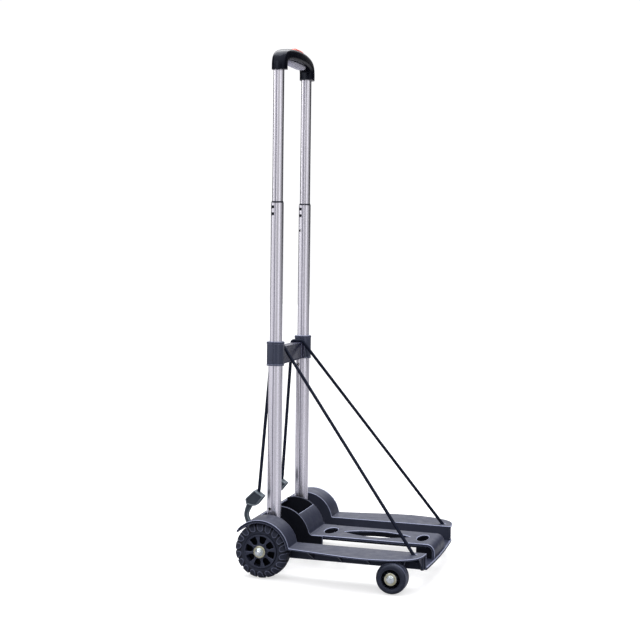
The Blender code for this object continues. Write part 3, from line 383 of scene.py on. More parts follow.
def rectangle(u0, v0, u1, v1, corner=0.0, steps=4):
    """A rectangle outline with rounded corners."""
    if corner <= 0.0:
        return [(u0, v0), (u1, v0), (u1, v1), (u0, v1)]
    outline = arc(corner, 180, 270, steps, (u0 + corner, v0 + corner))
    outline += arc(corner, 270, 360, steps, (u1 - corner, v0 + corner))
    outline += arc(corner, 0, 90, steps, (u1 - corner, v1 - corner))
    return outline + arc(corner, 90, 180, steps, (u0 + corner, v1 - corner))


def mirrored(points):
    return points + [(-u, v) for u, v in reversed(points) if abs(u) > 1e-9]


def curve_through(points, steps=6):
    """Catmull-Rom points through a list of 2-D points."""
    count = len(points)
    out = []
    for i in range(count - 1):
        near = [points[min(max(i + k - 1, 0), count - 1)] for k in range(4)]
        for step in range(steps):
            out.append(tuple(catmull(step / steps, *(q[a] for q in near)) for a in (0, 1)))
    out.append(tuple(points[-1]))
    return out


def catmull(t, a, b, c, d):
    return 0.5 * (2 * b + (c - a) * t + (2 * a - 5 * b + 4 * c - d) * t * t + (3 * b - 3 * c + d - a) * t ** 3)


def area_of(outline):
    return 0.5 * sum(a[0] * b[1] - b[0] * a[1] for a, b in zip(outline, outline[1:] + outline[:1]))


def inset(outline, distance):
    """Moves a loop into the material on its left by a distance."""
    moved = []
    count = len(outline)
    for i, (u, v) in enumerate(outline):
        before, after = outline[i - 1], outline[(i + 1) % count]
        first = Vector((u - before[0], v - before[1])).normalized()
        second = Vector((after[0] - u, after[1] - v)).normalized()
        n1, n2 = Vector((-first.y, first.x)), Vector((-second.y, second.x))
        shift = (n1 + n2) / max(1.0 + n1.dot(n2), 0.35)
        moved.append((u + shift.x * distance, v + shift.y * distance))
    return moved


def mesh_object(name, work, look, smooth=40.0, place=HOME):
    """Turns a bmesh into a piece with its material, standing in the row frame."""
    bmesh.ops.recalc_face_normals(work, faces=work.faces)
    mesh = bpy.data.meshes.new(name)
    work.to_mesh(mesh)
    work.free()
    mesh.transform(place)
    mesh.shade_smooth()
    mesh.set_sharp_from_angle(angle=smooth * DEG)
    made = bpy.data.objects.new(name, mesh)
    bpy.context.scene.collection.objects.link(made)
    mesh.materials.append(look)
    weighted = made.modifiers.new("normals", "WEIGHTED_NORMAL")
    weighted.keep_sharp = True
    weighted.weight = 80
    return made


def join_rings(work, rings):
    """Skins the gaps between closed rings of the same number of points."""
    for first, second in zip(rings, rings[1:]):
        for i in range(len(first)):
            k = (i + 1) % len(first)
            work.faces.new((first[i], first[k], second[k], second[i]))


def dress(work, name, look, body, nodes, slot, smooth=32.0):
    """Makes the piece, ties it to its body and lets it stand for its CAD nodes."""
    piece = mesh_object(name, work, look, smooth)
    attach(piece, body)
    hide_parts(*nodes)
    return piece


def split_at(piece, point, normal):
    """Splits the faces of a piece along a plane and gives what was cut."""
    everything = piece.verts[:] + piece.edges[:] + piece.faces[:]
    found = bmesh.ops.bisect_plane(piece, geom=everything, plane_co=point, plane_no=normal, dist=1e-7)
    return found["geom_cut"]


def add_plate(work, outlines, low, high, axis="Z", edge=0.0006, steps=3, cuts=(), shape=None):
    """Adds a flat plate with rounded edges: the first outline is the rim, the rest are holes.

    cuts are places along v where the faces are split, so that shape, a map from (u, v, height) to a
    point, can roll the plate round a path.
    """
    edge = min(edge, (high - low) * 0.45)
    piece = bmesh.new()
    painted_light = piece.verts.layers.float.new("painted_light")
    loops = []
    for index, outline in enumerate(outlines):
        if (area_of(outline) > 0.0) == (index > 0):
            outline = outline[::-1]
        rings = []
        levels = [(a, low + edge, -1.0) for a in range(steps, -1, -1)] + [(a, high - edge,
                                                                           1.0) for a in range(steps + 1)]
        for a, base, way in levels:
            turn = 0.5 * math.pi * a / steps
            loop = inset(outline, edge * (1.0 - math.cos(turn)))
            ring = [piece.verts.new((u, v, base + way * edge * math.sin(turn))) for u, v in loop]
            # painted highlight mask on the rounded edges: full on the upper edge, half on the lower one
            for vertex in ring:
                vertex[painted_light] = (1.0 if way > 0.0 else 0.5) * (0 < a < steps)
            rings.append(ring)
        join_rings(piece, rings)
        loops.append(rings)
    for level in (0, -1):
        verts = [v for rings in loops for v in rings[level]]
        for face in tessellate_polygon([[v.co for v in rings[level]] for rings in loops]):
            corners = [verts[i] for i in face]
            if len(set(corners)) == 3:
                try:
                    piece.faces.new(corners)
                except ValueError:
                    pass
    for place in cuts:
        for item in split_at(piece, (0.0, place, 0.0), (0.0, 1.0, 0.0)):
            if isinstance(item, bmesh.types.BMEdge):
                item.seam = True
    bmesh.ops.dissolve_limit(piece, angle_limit=0.3 * DEG, verts=piece.verts[:], edges=piece.edges[:],
                             delimit={"SEAM"})
    bmesh.ops.recalc_face_normals(piece, faces=piece.faces)
    if shape:
        for vertex in piece.verts:
            vertex.co = shape(vertex.co)
    else:
        bmesh.ops.transform(piece, matrix=AXIS_TURN[axis], verts=piece.verts)
    merge_into(work, piece)


def merge_into(work, piece, matrix=None):
    if matrix is not None:
        bmesh.ops.transform(piece, matrix=matrix, verts=piece.verts)
    mesh = bpy.data.meshes.new("part")
    # every piece carries the painted light mask, zero where nothing is painted
    if "painted_light" not in piece.verts.layers.float.keys():
        piece.verts.layers.float.new("painted_light")
    if "painted_light" not in work.verts.layers.float.keys():
        work.verts.layers.float.new("painted_light")
    piece.to_mesh(mesh)
    piece.free()
    work.from_mesh(mesh)
    bpy.data.meshes.remove(mesh)


def add_turned(work, profile, centre, axis="X", steps=64, closed=True, matrix=None):
    """Adds a turned shape: (radius, height) points, turned about an axis through the centre."""
    piece = bmesh.new()
    rings = []
    for radius, height in profile:
        if radius < 1e-7:
            rings.append([piece.verts.new((0.0, 0.0, height))])
        else:
            rings.append([piece.verts.new((radius * math.cos(2 * math.pi * i / steps),
                                           radius * math.sin(2 * math.pi * i / steps), height))
                          for i in range(steps)])
    pairs = list(zip(rings, rings[1:]))
    if closed:
        pairs.append((rings[-1], rings[0]))
    for first, second in pairs:
        for i in range(steps):
            k = (i + 1) % steps
            corners = []
            for ring, which in ((first, i), (first, k), (second, k), (second, i)):
                vertex = ring[which] if len(ring) > 1 else ring[0]
                if vertex not in corners:
                    corners.append(vertex)
            if len(corners) > 2:
                piece.faces.new(corners)
    bmesh.ops.transform(piece, matrix=Matrix.Translation(Vector(centre)) @ AXIS_TURN[axis], verts=piece.verts)
    merge_into(work, piece, matrix)


def upright_to(direction):
    """The turn that lays the Z axis along a direction."""
    return direction.to_track_quat("Z", "Y").to_matrix().to_4x4()


def add_rod(work, start, end, radius, steps=24, edge=0.0004):
    start, end = Vector(start), Vector(end)
    length = (end - start).length
    turn = upright_to(end - start)
    profile = [(0.0, length), (radius - edge, length), (radius, length - edge), (radius, edge),
               (radius - edge, 0.0), (0.0, 0.0)]
    add_turned(work, profile, (0, 0, 0), "Z", steps, False, Matrix.Translation(start) @ turn)


def flipped(work, side):
    """Mirrors a shape drawn for +X to the side it belongs on."""
    if side < 0.0:
        bmesh.ops.transform(work, matrix=Matrix.Diagonal((-1.0, 1.0, 1.0, 1.0)), verts=work.verts)
        bmesh.ops.reverse_faces(work, faces=work.faces[:])
    return work


# ---------------------------------------------------------------- rolled paths
ARCH_Z = 0.0535
ARCH = 0.0568
HUMP = 0.0602
DECK = 0.0626


def line_part(y0, z0, y1, z1, normal):
    length = math.hypot(y1 - y0, z1 - z0)

    def at(t):
        return y0 + (y1 - y0) * t / length, z0 + (z1 - z0) * t / length, *normal
    return length, at


def arc_part(centre, radius, start, end, outward=1.0):
    length = radius * abs(end - start) * DEG

    def at(t):
        a = (start + (end - start) * t / length) * DEG
        y, z = math.cos(a), math.sin(a)
        return centre[0] + radius * y, centre[1] + radius * z, outward * y, outward * z
    return length, at


def rolled(parts):
    """A shape map that lays (u, v, height) along a path of parts in the YZ plane."""
    def shape(point):
        left = point.y
        for index, (length, at) in enumerate(parts):
            if left <= length or index == len(parts) - 1:
                y, z, ny, nz = at(min(max(left, 0.0), length))
                return Vector((point.x, y + ny * point.z, z + nz * point.z))
            left -= length
    return shape


def cuts_along(parts, fine=3.0):
    """Places to split a plate: the ends of every part and steps of a few degrees on its arcs."""
    places, total = [], 0.0
    for length, at in parts:
        first, last = at(0.0), at(length)
        turn = math.acos(max(-1.0, min(1.0, first[2] * last[2] + first[3] * last[3]))) / DEG
        count = max(1, math.ceil(turn / fine))
        places += [total + length * i / count for i in range(1, count + 1)]
        total += length
    return places[:-1], total


def foot_of(radius, fillet):
    """Where a rounded foot of this fillet joins the deck to an arch of this radius."""
    high = DECK + fillet - ARCH_Z
    reach = radius + fillet
    return -math.sqrt(reach * reach - high * high), math.asin(high / reach) / DEG


def side_path():
    y, angle = foot_of(ARCH, 0.0025)
    return [line_part(-0.302, DECK, y, DECK, (0.0, 1.0)),
            arc_part((y, DECK + 0.0025), 0.0025, -90.0, -angle, -1.0),
            arc_part((0.0, ARCH_Z), ARCH, 180.0 - angle, 180.0 - 146.0)]


def middle_path():
    y, angle = foot_of(HUMP, 0.0025)
    return [line_part(-0.303, 0.033, -0.303, 0.0476, (-1.0, 0.0)),
            arc_part((-0.288, 0.0476), 0.015, 180.0, 90.0),
            line_part(-0.288, DECK, y, DECK, (0.0, 1.0)),
            arc_part((y, DECK + 0.0025), 0.0025, -90.0, -angle, -1.0),
            arc_part((0.0, ARCH_Z), HUMP, 180.0 - angle, 180.0 - 52.0)]


def rear_path():
    return [arc_part((0.0, ARCH_Z), ARCH, 180.0 - 107.0, 180.0 - 146.0)]


# ---------------------------------------------------------------- platform
def side_rail(work):
    """One side: deck plate, rolled up over the wheel and down to the tail, in one skin."""
    path = side_path()
    places, total = cuts_along(path)
    front = [(0.1133, 0.0), (0.133, 0.001), (0.148, 0.0045), (0.16, 0.011), (0.169, 0.0205), (0.177, 0.034),
             (0.184, 0.054), (0.189, 0.082), (0.1895, 0.112), (0.185, 0.147), (0.178, 0.184), (0.171, 0.22),
             (0.1672, 0.24)]
    outer = curve_through(front, 5) + [(0.167, 0.244), (0.167, total - 0.006)]
    outer += arc(0.006, 0.0, 90.0, 6, (0.161, total - 0.006)) + [(0.113, total)]
    cord_hole = oval(0.0042, 0.0058, (0.131, 0.0194), 28)
    first = total - ARCH * 24.2 * DEG
    slot = rectangle(0.1185, first, 0.1628, total - ARCH * 5.2 * DEG, 0.005, 5)
    add_plate(work, [outer, cord_hole, slot], -0.0032, 0.0, edge=0.0009, cuts=places, shape=rolled(path))
    arch_start = path[0][0] + path[1][0]
    rim = rectangle(0.164, arch_start - 0.002, 0.167, total - 0.008, 0.0006, 2)
    add_plate(work, [rim], -0.0052, 0.0004, edge=0.0008, cuts=places, shape=rolled(path))


def wheel_side_wall(work):
    """Upright wall between the tube slot and the wheel, following deck, arch and tail."""
    outline = [(-0.302, 0.0323), (-0.302, DECK - 0.0006), (-0.056, DECK - 0.0006)]
    outline += arc(ARCH - 0.0006, 168.0, 34.0, 60, (0.0, ARCH_Z)) + [(0.037, 0.06), (0.037, 0.0323)]
    add_plate(work, [outline], 0.113, 0.1166, "X", 0.0008)


def hump_wall(work):
    outline = [(-0.086, 0.0455), (-0.086, DECK - 0.0004), (-0.064, DECK - 0.0004), (-0.0608, DECK + 0.0016)]
    outline += arc(HUMP, 166.0, 73.0, 44, (0.0, ARCH_Z)) + arc(ARCH, 71.5, 34.0, 18, (0.0, ARCH_Z))
    outline += [(0.037, 0.06), (0.037, 0.0323), (-0.081, 0.0323)]
    add_plate(work, [outline], 0.0459, 0.0499, "X", 0.0011, 4)


def lens_outline(half_u, start, end, steps=22):
    side = []
    for i in range(steps + 1):
        along = i / steps
        side.append((half_u * math.sin(math.pi * along) ** 0.72, start + (end - start) * along))
    return side + [(-u, v) for u, v in reversed(side[1:-1])]


OVALS = ((0.0256, 0.0121, -0.089), (0.0256, 0.0106, -0.2705))


def middle_rail(work):
    """Middle rail with its oval holes and long slot, bent down at the front and up over the axle."""
    path = middle_path()
    places, total = cuts_along(path)
    bend = path[0][0] + path[1][0]

    def flat(y):
        return bend + (y + 0.288)
    half = [(0.0466, 0.0), (0.047, bend), (0.047, flat(-0.0875)), (0.0476, flat(-0.0865)),
            (0.049, flat(-0.0858)),
            (0.0492, flat(-0.084)), (0.0492, total)]
    outline = mirrored([(0.0, 0.0)] + half + [(0.0, total)])
    holes = [oval(u, v, (0.0, flat(y)), 44) for u, v, y in OVALS]
    holes.append(lens_outline(0.0245, flat(-0.246), flat(-0.116)))
    add_plate(work, [outline, *holes], -0.005, 0.0, edge=0.0011, cuts=places, shape=rolled(path))


def rail_inside(work):
    """Deep rims under the holes, the rail's side flanges and the web under the front bend."""
    for u, v, y in OVALS:
        add_plate(work, [oval(u + 0.002, v + 0.002, (0.0, y), 44), oval(u, v, (0.0, y), 44)], DECK - 0.0125,
                  DECK - 0.0018, edge=0.0005)
    rims = [lens_outline(0.0265, -0.2485, -0.1135), lens_outline(0.0245, -0.246, -0.116)]
    add_plate(work, rims, DECK - 0.0108, DECK - 0.0018, edge=0.0005)
    for side in (-1.0, 1.0):
        flange = [(-0.286, DECK - 0.008), (-0.286, DECK - 0.002), (-0.062, DECK - 0.002),
                  (-0.062, DECK - 0.008)]
        low, high = sorted((side * 0.0438, side * 0.0464))
        add_plate(work, [flange], low, high, "X", 0.0005)
        web = [(-0.299, 0.034), (-0.299, 0.048), (-0.296, 0.056), (-0.289, 0.059), (-0.267, 0.059),
               (-0.267, 0.034)]
        low, high = sorted((side * 0.0405, side * 0.0436))
        add_plate(work, [web], low, high, "X", 0.0005)


def rear_skin(work):
    path = rear_path()
    places, total = cuts_along(path)
    outline = rectangle(-0.1145, 0.0, 0.1145, total, 0.0005, 2)
    slot = rectangle(-0.0262, total - ARCH * 24.2 * DEG, 0.0262, total - ARCH * 6.6 * DEG, 0.005, 5)
    add_plate(work, [outline, slot], -0.0032, 0.0, edge=0.0009, cuts=places, shape=rolled(path))


def front_bar(work):
    across = [-0.116 + 0.232 * i / 32 for i in range(33)]
    front = [(x, -0.3035 - 0.0035 * (1.0 - (x / 0.116) ** 2)) for x in across]
    back = [(x, -0.2822) for x in reversed(across)]
    add_plate(work, [front + back], 0.0323, 0.035, edge=0.0006)
    lip = front + [(x, y + 0.0028) for x, y in reversed(front)]
    add_plate(work, [lip], 0.0323, 0.0375, edge=0.001)


def under_side(work):
    """Gussets, wheel lug, bosses and ribs under one side rail."""
    wall, under = 0.116, DECK - 0.0028
    for y in (-0.089, -0.143, -0.196):
        rib = [(wall, 0.0343), (wall, under), (0.16, under), (0.15, under - 0.008)]
        add_plate(work, [rib], -y - 0.0011, -y + 0.0011, "Y", 0.0004)
    lug = [(-0.273, under), (-0.265, 0.0285)] + arc(0.012, 180.0, 360.0, 16,
                                                    (FRONT_Y, FRONT_Z))[1:] + [(-0.233, under)]
    add_plate(work, [lug], 0.146, 0.152, "X", 0.0008)
    brace = [(wall, 0.0343), (wall, under), (0.147, under), (0.147, 0.0423)]
    add_plate(work, [brace], 0.253 - 0.0015, 0.253 + 0.0015, "Y", 0.0004)
    end_rib = [(wall, 0.0333), (wall, under), (0.15, under), (0.142, under - 0.006)]
    add_plate(work, [end_rib], 0.2945, 0.2965, "Y", 0.0004)
    add_rod(work, (0.1205, -0.296, 0.033), (0.124, -0.296, under), 0.0036)
    add_rod(work, (0.115, 0.0, REAR_Z), (0.1199, 0.0, REAR_Z), 0.0105, 40)


def under_middle(work):
    add_plate(work, [rectangle(-0.114, 0.008, 0.114, 0.037)], 0.0323, 0.0353, edge=0.0006)


def platform():
    """Builds the moulded platform out of its skins, walls and ribs."""
    top, walls, dark = bmesh.new(), bmesh.new(), bmesh.new()
    for _, side in SIDES:
        half_top, half_walls, half_dark = bmesh.new(), bmesh.new(), bmesh.new()
        side_rail(half_top)
        wheel_side_wall(half_walls)
        hump_wall(half_dark)
        under_side(half_walls)
        merge_into(top, flipped(half_top, side))
        merge_into(walls, flipped(half_walls, side))
        merge_into(dark, flipped(half_dark, side))
    middle_rail(top)
    rear_skin(top)
    front_bar(top)
    under_middle(dark)
    rail_inside(dark)
    # deck_inside, the hump walls and the pieces under the middle rail, is painted near black as shade
    skins = (("deck_shell", top, "deck_plastic"), ("deck_walls", walls, "deck_rib_plastic"),
             ("deck_inside", dark, "deck_wall_shade_plastic"))
    for name, work, look in skins:
        dress(work, name, plastic(look), "platform", ["deck_frame"], "deck_plastic", 38.0)


# ---------------------------------------------------------------- wheels
def step_between(value, low, high):
    t = min(max((value - low) / (high - low), 0.0), 1.0)
    return t * t * (3.0 - 2.0 * t)


TYRE_HALF = [(0.0318, 0.015), (0.0322, 0.0158), (0.034, 0.0162), (0.0375, 0.0166), (0.041, 0.0165),
             (0.0443, 0.0154), (0.0466, 0.0137), (0.0481, 0.0111), (0.0489, 0.008), (0.0492, 0.004),
             (0.0493, 0.0)]
LUGS = 18


def lug_at(turn, radius, offset):
    """Height of the tread and its painted light at a turn in degrees, this far from the wheel's middle plane:
    painted highlight on the lug rims, painted shade in the grooves.
    """
    side = 1.0 if offset >= 0.0 else -1.0
    pitch = 360.0 / LUGS
    lean = 3.2 * (radius - 0.04) / 0.01 * min(1.0, abs(offset) / 0.008)
    local = (turn + (0.0 if side > 0.0 else pitch / 2.0) + lean) % pitch - pitch / 2.0
    if radius < 0.035:
        return 0.0, 0.0
    width = 0.0056 + 0.0006 * step_between(radius, 0.0425, 0.048)
    across = abs(local) * DEG * min(radius, 0.047)
    ahead = radius - 0.0372 - width
    inside = width - (math.hypot(across, ahead) if ahead < 0.0 else across)
    edge = step_between(inside, -0.0004, 0.0004)
    middle = step_between(abs(offset), 0.0008, 0.0016)
    tall = 0.0015 + 0.0007 * step_between(radius, 0.045, 0.0492)
    dish = 0.0007 * step_between(inside, 0.001, 0.0024) * (radius < 0.0475)
    # painted highlight along each lug's rim
    rim = (1.0 - step_between(inside, 0.0009, 0.0019)) * edge
    # painted shade in the grooves between the lugs
    shade = -1.0 * (1.0 - edge * middle) * step_between(radius, 0.0356, 0.0385)
    return max(0.0, tall * edge * middle - dish * edge), rim * middle + shade


def rear_tyre():
    """A chunky tyre: a smooth carcass with U-shaped lugs raised out of it on both shoulders."""
    half = curve_through(TYRE_HALF, 4)
    outer = half + [(r, -x) for r, x in reversed(half[:-1])]
    count, turns = len(outer), 432
    work = bmesh.new()
    painted_light = work.verts.layers.float.new("painted_light")
    rings = []
    for i in range(turns):
        angle = 360.0 * i / turns
        ring = []
        for k, (radius, offset) in enumerate(outer):
            before, after = outer[max(k - 1, 0)], outer[min(k + 1, count - 1)]
            tangent = Vector((after[0] - before[0], after[1] - before[1])).normalized()
            normal = Vector((-tangent.y, tangent.x))
            if normal.dot(Vector((radius - 0.042, offset))) < 0.0:
                normal = -normal
            rise, rim = lug_at(angle, radius, offset)
            r, x = radius + normal.x * rise, offset + normal.y * rise
            vertex = work.verts.new((0.145 + x, r * math.cos(angle * DEG),
                                     REAR_Z + r * math.sin(angle * DEG)))
            # painted highlight on the lug rims, painted shade in the grooves
            vertex[painted_light] = rim
            ring.append(vertex)
        rings.append(ring)
    for i in range(turns):
        first, second = rings[i], rings[(i + 1) % turns]
        for k in range(count - 1):
            work.faces.new((first[k], first[k + 1], second[k + 1], second[k]))
        work.faces.new((first[-1], first[0], second[0], second[-1]))
    return work


def window_outline(index):
    """One D-shaped window: its flat edge towards the rim."""
    low, high, half = 0.0138, 0.0284, 0.0071
    points = arc(0.0016, 90.0, 8.0, 4, (half * 0.98 - 0.0016, high - 0.0016))
    points += [(half * 0.9, 0.024)] + arc(half * 0.8, -8.0, -172.0, 10, (0.0, low + half * 0.8))
    points += [(-half * 0.9, 0.024)] + arc(0.0016, 172.0, 90.0, 4, (-half * 0.98 + 0.0016, high - 0.0016))
    turn = (45.0 * index + 12.0) * DEG
    cos, sin = math.cos(turn), math.sin(turn)
    return [(u * cos - v * sin, REAR_Z + u * sin + v * cos) for u, v in points]


def rear_hub():
    centre = REAR_CENTRE
    work = bmesh.new()
    rim = oval(0.0302, 0.0302, (0.0, REAR_Z), 96)
    bore = oval(0.006, 0.006, (0.0, REAR_Z), 32)
    add_plate(work, [rim, bore] + [window_outline(i) for i in range(8)], 0.1592, 0.1626, "X", 0.0007)
    lip = [(0.0286, 0.163), (0.029, 0.1636), (0.0305, 0.1637), (0.0313, 0.163), (0.0316, 0.1616),
           (0.0316, 0.1296),
           (0.0286, 0.1296), (0.0286, 0.161)]
    add_turned(work, lip, centre, steps=96)
    boss = [(0.0044, 0.1654), (0.0118, 0.1654), (0.0124, 0.1648), (0.0129, 0.1622), (0.012, 0.156),
            (0.0112, 0.1206), (0.0044, 0.1206)]
    add_turned(work, boss, centre, steps=64)
    # the web disc behind the windows and the ribs between them are painted near black as shade
    dark = bmesh.new()
    web = [(0.0126, 0.15), (0.0285, 0.15), (0.0285, 0.1475), (0.0126, 0.1475)]
    add_turned(dark, web, centre, steps=64)
    for i in range(8):
        turn = (45.0 * i + 34.5) * DEG
        rib = bmesh.new()
        add_plate(rib, [rectangle(0.0115, -0.0009, 0.029, 0.0009)], 0.147, 0.1596, edge=0.0003)
        place = Matrix.Translation(centre) @ Matrix.Rotation(turn, 4,
                                                             "X") @ Matrix(((0, 0, 1, 0), (1, 0, 0, 0),
                                                                            (0, 1, 0, 0), (0, 0, 0, 1)))
        merge_into(dark, rib, place)
    return work, dark


def hexagon(across, centre, turn=0.0, corner=0.0004):
    reach = across / math.sqrt(3.0)
    points = []
    for i in range(6):
        angle = (60.0 * i + turn) * DEG
        for way in (-1.0, 1.0):
            shift = way * corner / reach
            points.append((centre[0] + reach * math.cos(angle + shift),
                           centre[1] + reach * math.sin(angle + shift)))
    return points


def threaded_end(work, radius, low, high, centre):
    """A bolt end with a thread and a chamfered tip."""
    pitch, profile, at = 0.0008, [(0.0, high), (radius - 0.001, high),
                                  (radius - 0.0003, high - 0.0007)], high - 0.0009
    while at > low:
        profile += [(radius, at), (radius - 0.0004, at - pitch / 2.0)]
        at -= pitch
    add_turned(work, profile + [(radius, low), (0.0, low)], centre, steps=32, closed=False)


def rear_fasteners(side):
    centre = REAR_CENTRE
    washer = bmesh.new()
    profile = [(0.0044, 0.1669), (0.0107, 0.167), (0.0112, 0.1666), (0.0112, 0.166), (0.0108, 0.1657),
               (0.0044, 0.1657)]
    add_turned(washer, profile, centre, steps=64)
    nut = bmesh.new()
    add_plate(nut, [hexagon(0.013, (0.0, REAR_Z), 14.0), oval(0.0042, 0.0042, (0.0, REAR_Z), 32)], 0.1675,
              0.1722,
              "X", 0.0007)
    add_turned(nut, [(0.0041, 0.1738), (0.005, 0.1739), (0.0057, 0.1733), (0.006, 0.1721), (0.006, 0.1716),
                     (0.0041, 0.1716)], centre, steps=48)
    flange = [(0.0042, 0.1684), (0.0066, 0.1684), (0.0078, 0.1679), (0.0078, 0.1672), (0.0042, 0.1672)]
    add_turned(nut, flange, centre, steps=48)
    return flipped(washer, side), flipped(nut, side)


def front_tyre():
    half = [(0.0188, 0.185), (0.0196, 0.1856), (0.0225, 0.1859), (0.0252, 0.1848), (0.027, 0.1826),
            (0.028, 0.1797),
            (0.0284, 0.1755), (0.0281, 0.1717), (0.0274, 0.1709), (0.0265, 0.1705), (0.0262, 0.17)]
    half = curve_through(half, 3)
    profile = half + [(r, 0.34 - x) for r, x in reversed(half[:-1])]
    work = bmesh.new()
    add_turned(work, profile, FRONT_CENTRE, steps=112)
    painted_light = work.verts.layers.float["painted_light"]
    for vertex in work.verts:
        radius = math.hypot(vertex.co.y - FRONT_Y, vertex.co.z - FRONT_Z)
        # painted highlight band on the shoulders, painted shade down the middle groove
        vertex[painted_light] = 0.75 * (0.0272 < radius < 0.0283) - (radius < 0.0266 and abs(vertex.co.x - 0.17) < 0.0008)
    return work


def front_hub():
    """A recessed ring with twelve spokes between the rim and the boss."""
    centre = FRONT_CENTRE
    work = bmesh.new()
    rim = [(0.0172, 0.1846), (0.0176, 0.1853), (0.0184, 0.1853), (0.0187, 0.1846), (0.0187, 0.1616),
           (0.0172, 0.1616)]
    add_turned(work, rim, centre, steps=80)
    boss = [(0.0034, 0.185), (0.0108, 0.185), (0.0114, 0.1844), (0.0117, 0.18), (0.0117, 0.164),
            (0.0085, 0.1528),
            (0.0034, 0.1528)]
    add_turned(work, boss, centre, steps=64)
    # the recess ring and its spokes are painted near black as shade
    dark = bmesh.new()
    add_turned(dark, [(0.0118, 0.178), (0.0171, 0.178), (0.0171, 0.1755), (0.0118, 0.1755)], centre, steps=64)
    for i in range(12):
        rib = bmesh.new()
        add_plate(rib, [rectangle(0.0112, -0.00085, 0.018, 0.00085)], 0.177, 0.1838, edge=0.0005)
        place = Matrix.Translation(centre) @ Matrix.Rotation((30.0 * i + 8.0) * DEG, 4, "X") @ AXIS_TURN["X"]
        merge_into(dark, rib, place)
    return work, dark


def front_fasteners(side):
    centre = FRONT_CENTRE
    washer, bolt, nut = bmesh.new(), bmesh.new(), bmesh.new()
    profile = [(0.0034, 0.1866), (0.0107, 0.1867), (0.0112, 0.1863), (0.0112, 0.1857), (0.0108, 0.1854),
               (0.0034, 0.1854)]
    add_turned(washer, profile, centre, steps=64)
    add_plate(bolt, [hexagon(0.0112, (FRONT_Y, FRONT_Z), 20.0)], 0.1872, 0.1908, "X", 0.0007)
    add_turned(bolt, [(0.0, 0.1916), (0.0026, 0.1915), (0.0042, 0.1911), (0.0046, 0.1905), (0.0, 0.1905)],
               centre,
               steps=32, closed=False)
    add_turned(bolt, [(0.0, 0.1874), (0.0069, 0.1874), (0.0072, 0.1871), (0.0069, 0.1868), (0.0, 0.1868)],
               centre,
               steps=48, closed=False)
    add_rod(bolt, (0.14, FRONT_Y, FRONT_Z), (0.187, FRONT_Y, FRONT_Z), 0.003)
    add_plate(nut, [hexagon(0.01, (FRONT_Y, FRONT_Z), 8.0), oval(0.0031, 0.0031, (FRONT_Y, FRONT_Z), 24)],
              0.1405,
              0.1455, "X", 0.0006)
    return flipped(washer, side), flipped(bolt, side), flipped(nut, side)


def wheels():
    hub, shadowed = plastic("hub_plastic"), plastic("recess_shade_plastic")
    tread, small_tread = rubber("tyre_rubber", 0.58), rubber("front_rubber", 0.32)
    plate_metal = zinc("washer_zinc", (0.42, 0.41, 0.27), (0.58, 0.57, 0.46), 0.28)
    nut_metal = zinc("nut_zinc", (0.6, 0.66, 0.7), (0.82, 0.86, 0.88), 0.16)
    for tag, side in SIDES:
        for end, tyre, hubs, rubber_look, slot in (("rear", rear_tyre, rear_hub, tread, "deck_plastic"),
                                                   ("front", front_tyre, front_hub, small_tread,
                                                    "grip_plastic")):
            disc, web = hubs()
            made = ((tyre(), "_tyre_", "", rubber_look, "tyre_rubber"), (disc, "_hub_", "", hub, slot),
                    (web, "_hub_", "web_", shadowed, slot))
            for work, kind, extra, look, its_slot in made:
                dress(flipped(work, side), "look_" + end + kind + extra + tag, look, end + "_wheel_" + tag,
                      [end + kind + tag], its_slot)
        washer, nut = rear_fasteners(side)
        small_washer, bolt, small_nut = front_fasteners(side)
        metal = [(washer, "rear_washer_", plate_metal), (nut, "rear_nut_", nut_metal),
                 (small_washer, "front_washer_", plate_metal), (bolt, "front_bolt_", nut_metal),
                 (small_nut, "front_nut_", nut_metal)]
        for work, name, look in metal:
            dress(work, "look_" + name + tag, look, "platform", [name + tag], "zinc_steel")
    axle = bmesh.new()
    add_rod(axle, (-0.17, 0.0, REAR_Z), (0.17, 0.0, REAR_Z), 0.004, 32)
    for _, side in SIDES:
        end = bmesh.new()
        threaded_end(end, 0.004, 0.17, 0.1758, REAR_CENTRE)
        merge_into(axle, flipped(end, side))
    dress(axle, "look_rear_axle", nut_metal, "platform", ["rear_axle"], "zinc_steel")


# ---------------------------------------------------------------- handle
DEPTH = (0.0133, 0.0118, 0.0103)
WIDTH = (0.011, 0.0095, 0.008)


def tube_section(width, depth, centre_x=0.0, grow=0.0):
    """Rounded front, flat sides with a V groove, a shallow bead, and a soft square rear."""
    width, depth = width + grow, depth + grow
    groove = min(0.0015, width * 0.14) if grow <= 0.0 else min(0.001, width * 0.1)
    front = 0.0003
    half = []
    for i in range(15):
        t = 90.0 * i / 14 * DEG
        half.append((width * math.sin(t), front - (depth + front) * math.cos(t)))
    half += [(width - groove * 0.6, 0.0009), (width - groove, 0.0018), (width - groove * 0.6, 0.0027),
             (width - 0.0003, 0.0036)]
    corner, wide, rear = 0.0033, width - 0.0003, depth - 0.0013
    half += arc(corner, 0.0, 90.0, 8, (wide - corner, rear - corner))
    half.append((0.0, rear))
    return [(centre_x + x, y) for x, y in mirrored(half)]


def tube_piece(look, stage, side, low, high, holes):
    """One tube with its wall, drilled where the pins and rivets go."""
    x = side * TUBE_X
    outer = tube_section(WIDTH[stage], DEPTH[stage], x)
    inner = tube_section(WIDTH[stage] - 0.0011, DEPTH[stage] - 0.0011, x)
    work = bmesh.new()
    add_plate(work, [outer, inner], low, high, edge=0.0003, steps=2)
    made = mesh_object("cutting", work, look, 30.0, AS_DRAWN)
    cutters = bmesh.new()
    for face, y, z, radius in holes:
        middle = x + face * (WIDTH[stage] - 0.0006)
        add_rod(cutters, (middle - 0.003, y, z), (middle + 0.003, y, z), radius, 28, 0.0001)
    return carve(made, cutters) if holes else made


